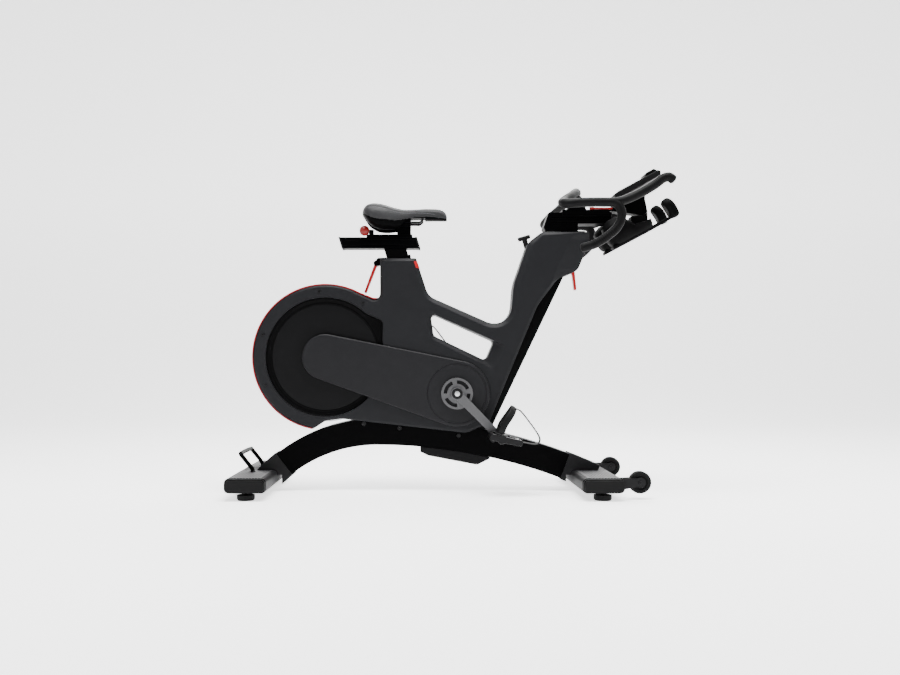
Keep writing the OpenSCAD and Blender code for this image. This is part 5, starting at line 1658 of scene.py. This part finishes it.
@dataclass
class BottleCradles:
    """Two tilted half-round cradles on one tray, each with a rounded paddle at its upper end."""

    foot: Point = (434.0, 692.0)
    tilt: float = 28.0
    bottle: float = 36.5
    wall: float = 4.0
    spread: float = 61.5
    length: float = 128.0
    paddle: float = 213.0

    def trough(self, y: float) -> Shape:
        """Returns one cradle: a wall round the bottle whose sides fall away towards the top."""
        shape = Shape()
        middle = self.bottle + self.wall - 8
        rings = []
        for x in (0.0, 1.2, 4.0, 9.0, 16.0, 24.0, 40.0, 52.0, 62.0, 80.0, 110.0, 124.0,
                  self.length):
            blunt = 0.55 + 0.45 * math.sqrt(min(1.0, x / 24.0))
            reach = 180 if x < 50 else max(72, 180 - (x - 50) * 3.2) if x < 84 else 72
            outer, inner = (self.bottle + self.wall) * blunt, (self.bottle + 1.0) * blunt
            if x < 2:
                inner = 15.0
            soft = 0.8 if x in (0.0, self.length) else 0.0
            angles = [-90 - reach + 2 * reach * k / 40 for k in range(41)]
            out = [(x, y + (outer - soft) * math.cos(math.radians(a)),
                    middle + (outer - soft) * math.sin(math.radians(a)))
                   for a in angles]
            back = [(x, y + (inner + soft) * math.cos(math.radians(a)),
                     middle + (inner + soft) * math.sin(math.radians(a))) for a in reversed(angles)]
            rings.append(out + back)
        shape.tube(rings)
        return shape

    def rail(self, y: float) -> Shape:
        """Returns the plate under one cradle, and the paddle at its end."""
        shape = Shape()
        rings = []
        for x, half, low, high in ((2, 17, -8, -2), (5, 19, -8, 1), (150, 19, -8, 1),
                                   (190, 17, -7, 1), (self.paddle - 3, 16, -6, 1),
                                   (self.paddle, 13, -4, 0)):
            section = ((-half, low + 2), (-half + 2, low), (half - 2, low), (half, low + 2),
                       (half, high - 1), (half - 1, high), (-half + 1, high), (-half, high - 1))
            rings.append([(x, y + s, z) for s, z in section])
        shape.tube(rings)
        leaf = [(-17, -6), (17, -6), (20, 6), (21, 24), (18, 39), (10, 48.5), (0, 52), (-10, 48.5),
                (-18, 39), (-21, 24), (-20, 6)]
        smooth_leaf = smooth_path(leaf, 4, closed=True)
        rings = []
        for depth, share in ((0.0, 0.86), (1.5, 0.95), (5.0, 1.0), (12.0, 1.0), (19.0, 0.95),
                             (24.0, 0.84), (26.0, 0.72)):
            rings.append([(self.paddle - 1 - depth + 0.004 * s * s - 0.02 * max(0.0, h - 20) ** 1.5,
                           y + s * share, 18 + (h - 18) * share) for s, h in smooth_leaf])
        shape.tube(rings)
        return shape

    def build(self) -> None:
        """Makes both cradles, the bridge between them and the bracket up to the neck."""
        shape = Shape()
        for y in (-self.spread, self.spread):
            shape.add(self.trough(y))
            shape.add(self.rail(y))
        shape.add(prism(rounded([(20, 4, 3), (120, 4, 3), (120, 16, 3), (20, 16, 3)], 4),
                        -self.spread + 6, self.spread - 6, edge=1.0, steps=2))
        shape = leaning(shape, self.foot, self.tilt)
        shape.add(prism(rounded([(500, 744, 3), (548, 770, 3), (547.6, 799.4, 1), (534, 791.6, 1),
                                 (500, 789, 2)], 4), -20, 20, edge=1.5, steps=3))
        obj = shape.piece("bottle_holders")
        finished(shade(obj, 35), INNER, "cockpit", "dark cover", ("bottle_cradles",))


@dataclass
class KnobGrip:
    """The rounded T-shaped grip on top of the resistance knob."""

    foot: Spot = (199.6, 0.0, 708.0)
    lean: float = 16.5
    rise: float = 21.0
    reach: float = 18.0
    radius: float = 6.2

    def build(self) -> None:
        """Makes the grip along the knob's crossbar."""
        rings = []
        for share, wide in ((-1.0, 0.25), (-0.97, 0.62), (-0.88, 0.9), (-0.7, 1.0), (-0.3, 0.94),
                            (0.3, 0.94), (0.7, 1.0), (0.88, 0.9), (0.97, 0.62), (1.0, 0.25)):
            rings.append([(share * self.reach, self.radius * wide * math.cos(math.radians(a)),
                           self.rise + self.radius * wide * math.sin(math.radians(a)))
                          for a in range(0, 360, 15)])
        bar, moved, t = Shape(), Shape(), math.radians(self.lean)
        bar.tube(rings)
        moved.add(bar, lambda p: (self.foot[0] + p[0] * math.cos(t) - p[2] * math.sin(t), p[1],
                                  self.foot[2] + p[2] * math.cos(t) + p[0] * math.sin(t)))
        record = frame["record"]
        body = next(b for b, nodes in record["behaviour"]["bodies"].items()
                    if "resistance_knob" in nodes)
        finished(shade(moved.piece("knob_grip"), 50), CAP, body)
# ---------- cranks and pedals ----------


@dataclass
class CrankDress:
    """The black rings and the silver cap on the cranks' hubs."""

    def build(self) -> None:
        """Makes the hub cap and the rings."""
        cap = lathe([(0, 78.4), (5.4, 78.4), (6.9, 77.9), (7.2, 77.2), (7.2, 76.0), (0, 76.0)],
                    CRANK, -1.0, 40)
        ring = lathe([(8.2, 76.5), (8.2, 77.5), (9.4, 77.9), (14.2, 77.9), (15.2, 77.4),
                      (15.4, 76.5)], CRANK, -1.0, 56, closed=True)
        shape = Shape()
        shape.add(cap)
        finished(shade(shape.piece("crank_cap"), 40), STEEL, "crank")
        shape = Shape()
        shape.add(ring)
        shape.add(ring.mirrored())
        finished(shade(shape.piece("crank_rings"), 40), DARK_STEEL, "crank")


@dataclass
class PedalDress:
    """Pins, the cleat plate and the strap buckle of one pedal; side is -1 on the right."""

    side: float
    tilt: float = 12.0
    inner: float = 82.0
    width: float = 92.0
    top: float = 8.4
    arm: float = 170.0
    arm_angle: float = 45.7

    def at(self) -> Point:
        """Returns the pedal axle's place in side view."""
        a = math.radians(self.arm_angle)
        spot = (CRANK[0] + self.arm * math.cos(a), CRANK[1] - self.arm * math.sin(a))
        return spot if self.side < 0 else (2 * CRANK[0] - spot[0], 2 * CRANK[1] - spot[1])

    def placed(self, spot: Spot) -> Spot:
        """Moves a point from the pedal's own frame to the model's."""
        t = math.radians(self.tilt)
        x, z = self.at()
        return (x + spot[0] * math.cos(t) + spot[2] * math.sin(t), spot[1] * self.side,
                z + spot[2] * math.cos(t) - spot[0] * math.sin(t))

    def aimed(self, way: Spot) -> Spot:
        """Turns a direction from the pedal's own frame to the model's."""
        return tuple(Vector(self.placed(way)) - Vector(self.placed((0, 0, 0))))

    def build(self) -> None:
        """Makes the pedal's details."""
        word = "right" if self.side < 0 else "left"
        body = word + "_pedal"
        pins = Repeater(word + "_pedal_pins",
                        upright([(1.7, -1.0), (1.7, 2.0), (1.3, 2.6), (0.5, 2.7)], 12), DARK_STEEL)
        outer = self.inner + self.width
        for x in (-30, -16, 46, 54):
            for y in (self.inner + 6, outer - 6):
                pins.put(self.placed((x, y, self.top)), self.aimed((0, 0, 1)))
        finished(pins.build(), DARK_STEEL, body)
        mid = self.inner + self.width / 2
        plate = Shape()
        outline = rounded([(-20, -13, 4), (16, -17, 5), (16, 17, 5), (-20, 13, 4)], 5)
        layers = ((0.96, 8.6), (1.0, 9.4), (1.0, 11.0), (0.93, 12.0), (0.5, 12.3))
        rings = [[(x * k, mid + y * k, z) for x, y in outline] for k, z in layers]
        plate.tube(rings)
        plate.add(block((-26, mid - 9, 8.5), (-20, mid + 9, 14.5)))
        plate.add(block((17, mid - 7, 8.5), (22, mid + 7, 13.5)))
        moved = Shape()
        moved.add(plate, self.placed)
        obj = ease(moved.piece(word + "_cleat_plate"), 0.6, 2)
        finished(obj, DARK_STEEL, body)
        buckle = Shape()
        buckle.add(block((-12, outer - 11.5, 34), (4, outer - 6.5, 46)))
        moved = Shape()
        moved.add(buckle, self.placed)
        finished(ease(moved.piece(word + "_buckle"), 1.0, 2), DARK_STEEL, body)
# ---------- screws, wheels and feet ----------


@dataclass
class Fasteners:
    """Every screw and bolt on the frame, and the frame node they stand for."""

    hub_reach: float = 188.0
    hub_angles: tuple[float, ...] = (95, 55, 160, 205)
    shell_face: float = 45.0
    beam_face: float = 38.0
    beam_places: tuple[Point, ...] = ((-268, 12), (-166, 25), (3, 30), (101, 26))

    def build(self) -> None:
        """Sets the body screws and the beam bolts."""
        body = Repeater("body_screw_heads", socket_screw(4.2, 1.9), DARK_STEEL)
        for angle in self.hub_angles:
            a = math.radians(angle)
            x, z = HUB[0] + self.hub_reach * math.cos(a), HUB[1] + self.hub_reach * math.sin(a)
            for side in (-1, 1):
                body.put((x, side * self.shell_face, z), (0, side, 0))
        finished(body.build(), DARK_STEEL, "frame", "steel", ("body_screws",))
        beam = Repeater("beam_bolt_heads", socket_screw(6.0, 3.6), DARK_STEEL)
        for x, drop in self.beam_places:
            for side in (-1, 1):
                beam.put((x, side * self.beam_face, arch_level(x) - drop), (0, side, 0))
        finished(beam.build(), DARK_STEEL, "frame")


@dataclass
class TransportWheel:
    """One wheel: a tyre with a grooved tread and a dished hub."""

    side: float
    centre: Point = (483.0, 45.0)
    middle: float = 200.0
    half: float = 12.0
    radius: float = 30.0

    def build(self) -> None:
        """Makes the wheel's tyre and hub."""
        word = "right" if self.side < 0 else "left"
        w, r, m = self.half, self.radius, self.middle
        tyre = lathe([(19.0, m - w + 1.4), (23.5, m - w + 0.3), (26.5, m - w), (29.0, m - w + 1.6),
                      (r - 0.1, m - w + 4), (r, m - 4.4), (r - 1.0, m - 3.8), (r - 1.0, m - 2.6),
                      (r, m - 2.0), (r, m + 2.0), (r - 1.0, m + 2.6), (r - 1.0, m + 3.8),
                      (r, m + 4.4), (r - 0.1, m + w - 4), (29.0, m + w - 1.6), (26.5, m + w),
                      (23.5, m + w - 0.3), (19.0, m + w - 1.4)], self.centre, self.side, 72,
                     closed=True)
        obj = shade(tyre.piece(word + "_tyre"), 50)
        finished(obj, RUBBER, word + "_wheel", "tyre", (word + "_wheel",))
        hub = lathe([(5.1, m - w + 1.0), (10.6, m - w + 1.0), (11.4, m - w + 1.8),
                     (12.2, m - w + 4.6), (17.2, m - w + 4.2), (18.9, m - w + 1.6),
                     (19.0, m - w + 2), (19.0, m + w - 2), (18.9, m + w - 1.6), (17.2, m + w - 4.2),
                     (12.2, m + w - 4.6), (11.4, m + w - 1.8), (10.6, m + w - 1.0),
                     (5.1, m + w - 1.0)], self.centre, self.side, 56, closed=True)
        obj = shade(hub.piece(word + "_wheel_hub"), 30)
        finished(obj, CAP, word + "_wheel")


# ---------- parts that keep the frame's shape ----------


@dataclass(frozen=True)
class CadPart:
    """A CAD node that keeps its shape and gets eased edges and a finish."""

    node: str
    finish: Finish
    width: float = 0.8
    segments: int = 2

    def build(self) -> bpy.types.Object:
        """Makes the eased copy and returns it."""
        record = frame["record"]
        slot = next(s["material_slot"] for s in record["subparts"] if s["node"] == self.node)
        body = next(b for b, nodes in record["behaviour"]["bodies"].items() if self.node in nodes)
        obj = ease(from_cad(self.node, self.node + "_eased"), self.width, self.segments)
        return finished(obj, self.finish, body, slot, (self.node,))


CAD_PARTS = (
    CadPart("arch_beam", BLACK, 6.0, 4), CadPart("arch_sleeves", CAST),
    CadPart("rear_stabilizer", CAST), CadPart("front_stabilizer", CAST), CadPart("end_caps", CAP),
    CadPart("tread_plates", TREAD, 0.4), CadPart("lift_handle", BLACK, 0),
    CadPart("seat_tube", BLACK), CadPart("front_tube", POST, 4.0, 3), CadPart("top_tube", BLACK),
    CadPart("bottom_bracket", BLACK), CadPart("bearings", STEEL, 0.4),
    CadPart("flywheel_mounts", BLACK), CadPart("left_cover", COVER, 1.5, 3),
    CadPart("rim_trim", RED), CadPart("belly_cover", COVER, 2.0, 3),
    CadPart("post_collars", BLACK, 0.8), CadPart("drive_belt", RUBBER, 0.3),
    CadPart("seat_post", POST, 3.0, 3), CadPart("seat_rail", BLACK), CadPart("rail_caps", CAP),
    CadPart("seat_carriage", BLACK), CadPart("saddle_clamp", BLACK),
    CadPart("saddle_rails", DARK_STEEL, 0), CadPart("seat_height_lever", RED, 2.0, 3),
    CadPart("bar_post", POST, 3.0, 3), CadPart("bar_rail", BLACK, 1.5),
    CadPart("bar_carriage", BLACK, 1.5, 3), CadPart("bar_height_lever", RED, 2.0, 3),
    CadPart("bar_slide_lever", RED_DEEP, 1.5), CadPart("brake_plunger", STEEL, 0.5),
    CadPart("resistance_knob", CAP, 1.5, 3), CadPart("magnet_carrier", BLACK),
    CadPart("flywheel", WHEEL_CUT, 1.0), CadPart("flywheel_axle", STEEL, 0.5),
    CadPart("crank_pulley", DARK_STEEL, 0.5), CadPart("crank_arms", ALLOY, 2.5, 3),
    CadPart("right_pedal", DARK_STEEL, 1.2), CadPart("left_pedal", DARK_STEEL, 1.2),
    CadPart("right_toe_cage", CAP, 0), CadPart("left_toe_cage", CAP, 0),
    CadPart("rear_right_foot", RUBBER, 2.0, 3), CadPart("rear_left_foot", RUBBER, 2.0, 3),
    CadPart("front_right_foot", RUBBER, 2.0, 3), CadPart("front_left_foot", RUBBER, 2.0, 3),
)


# ---------- setting ----------


@dataclass(frozen=True)
class Lamp:
    """A soft rectangular lamp: its place, aim and size in metres, and its watts."""

    name: str
    spot: Spot
    aim: Spot
    size: Point
    power: float

    def build(self) -> None:
        """Hangs the lamp."""
        data = bpy.data.lights.new(self.name, "AREA")
        data.shape, data.size, data.size_y, data.energy = "RECTANGLE", *self.size, self.power
        obj = bpy.data.objects.new(self.name, data)
        bpy.context.scene.collection.objects.link(obj)
        obj.location = self.spot
        obj.rotation_mode = "QUATERNION"
        obj.rotation_quaternion = (Vector(self.aim) - Vector(self.spot)).to_track_quat("-Z", "Y")


LAMPS = (
    Lamp("top_light", (0.1, -0.5, 3.0), (0, 0, 0.4), (2.6, 1.4), 260),
    Lamp("front_light", (2.6, -1.8, 2.0), (0, 0, 0.5), (1.6, 1.6), 40),
    Lamp("side_light", (-2.4, -2.2, 1.6), (0, 0, 0.5), (1.4, 1.4), 30),
    Lamp("back_light", (0.4, 2.2, 2.2), (0, 0, 0.6), (2.4, 1.0), 60),
)


@dataclass
class Studio:
    """The pale floor, the soft lights and the camera."""

    eye: Spot = (-0.102, -2.750, 0.356)
    lens: float = 37.93
    shift: Point = (0.0311, 0.0322)
    sweep_back: float = 2.6
    sweep_radius: float = 1.6
    glow: float = 1.5
    sky: float = 0.3

    def floor(self) -> None:
        """Lays a floor that curves up into a backdrop behind the cycle."""
        profile = [(-9.0, 0.0)] + [(self.sweep_back + self.sweep_radius * math.sin(math.radians(a)),
                                    self.sweep_radius * (1 - math.cos(math.radians(a))))
                                   for a in range(0, 91, 5)]
        profile.append((self.sweep_back + self.sweep_radius, 9.0))
        shape = Shape()
        rings = [shape.ring([(x, y * 1000, z * 1000) for y, z in profile])
                 for x in (-14000.0, 14000.0)]
        shape.bridge(rings[1], rings[0], closed=False)
        obj = shade(new_object("studio_floor", shape.mesh("studio_floor", outwards=False)), 60)
        n = Nodes("studio_paper")
        tone = n.blend(n.noise(0.8, 2.0), (0.86, 0.86, 0.86, 1), (0.89, 0.89, 0.89, 1))
        n.join(tone, n.shader.inputs["Base Color"])
        n.shader.inputs["Roughness"].default_value = 0.9
        n.shader.inputs["Emission Color"].default_value = (1.0, 1.0, 1.0, 1.0)
        n.shader.inputs["Emission Strength"].default_value = self.glow
        n.shader.inputs["Specular IOR Level"].default_value = 0.1
        obj.data.materials.append(n.material)

    def lights(self) -> None:
        """Sets the sky and the lamps."""
        world = bpy.data.worlds.new("studio_sky")
        bpy.context.scene.world = world
        world.use_nodes = True
        sky = world.node_tree.nodes["Background"]
        sky.inputs[0].default_value = (1, 1, 1, 1)
        sky.inputs[1].default_value = self.sky
        for lamp in LAMPS:
            lamp.build()

    def camera(self) -> None:
        """Stands the camera level with the pedals, square to the cycle's right side."""
        data = bpy.data.cameras.new("camera")
        data.lens, data.sensor_width = self.lens, 36.0
        data.shift_x, data.shift_y = self.shift
        data.clip_end = 60.0
        obj = bpy.data.objects.new("camera", data)
        bpy.context.scene.collection.objects.link(obj)
        obj.location = self.eye
        obj.rotation_euler = (math.pi / 2, 0, 0)
        bpy.context.scene.camera = obj

    def build(self) -> None:
        """Makes the whole setting."""
        self.camera()
        self.floor()
        self.lights()


def main() -> None:
    """Builds the setting and every sub-assembly in order."""
    logging.basicConfig(level=logging.INFO, format="%(name)s: %(message)s")
    Studio().build()
    for part in CAD_PARTS:
        part.build()
    BodyHalf().build(True)
    BodyHalf().build(False)
    SideDishes().build()
    BeltGuard().build()
    Saddle().build()
    SaddleHull().build()
    SeatRail().build()
    HeightMark().build()
    BallLever().build()
    Handlebar().build()
    Console().build()
    BottleCradles().build()
    KnobGrip().build()
    CrankDress().build()
    for side in (-1.0, 1.0):
        PedalDress(side).build()
        TransportWheel(side).build()
    Fasteners().build()


if __name__ == "__main__":
    main()
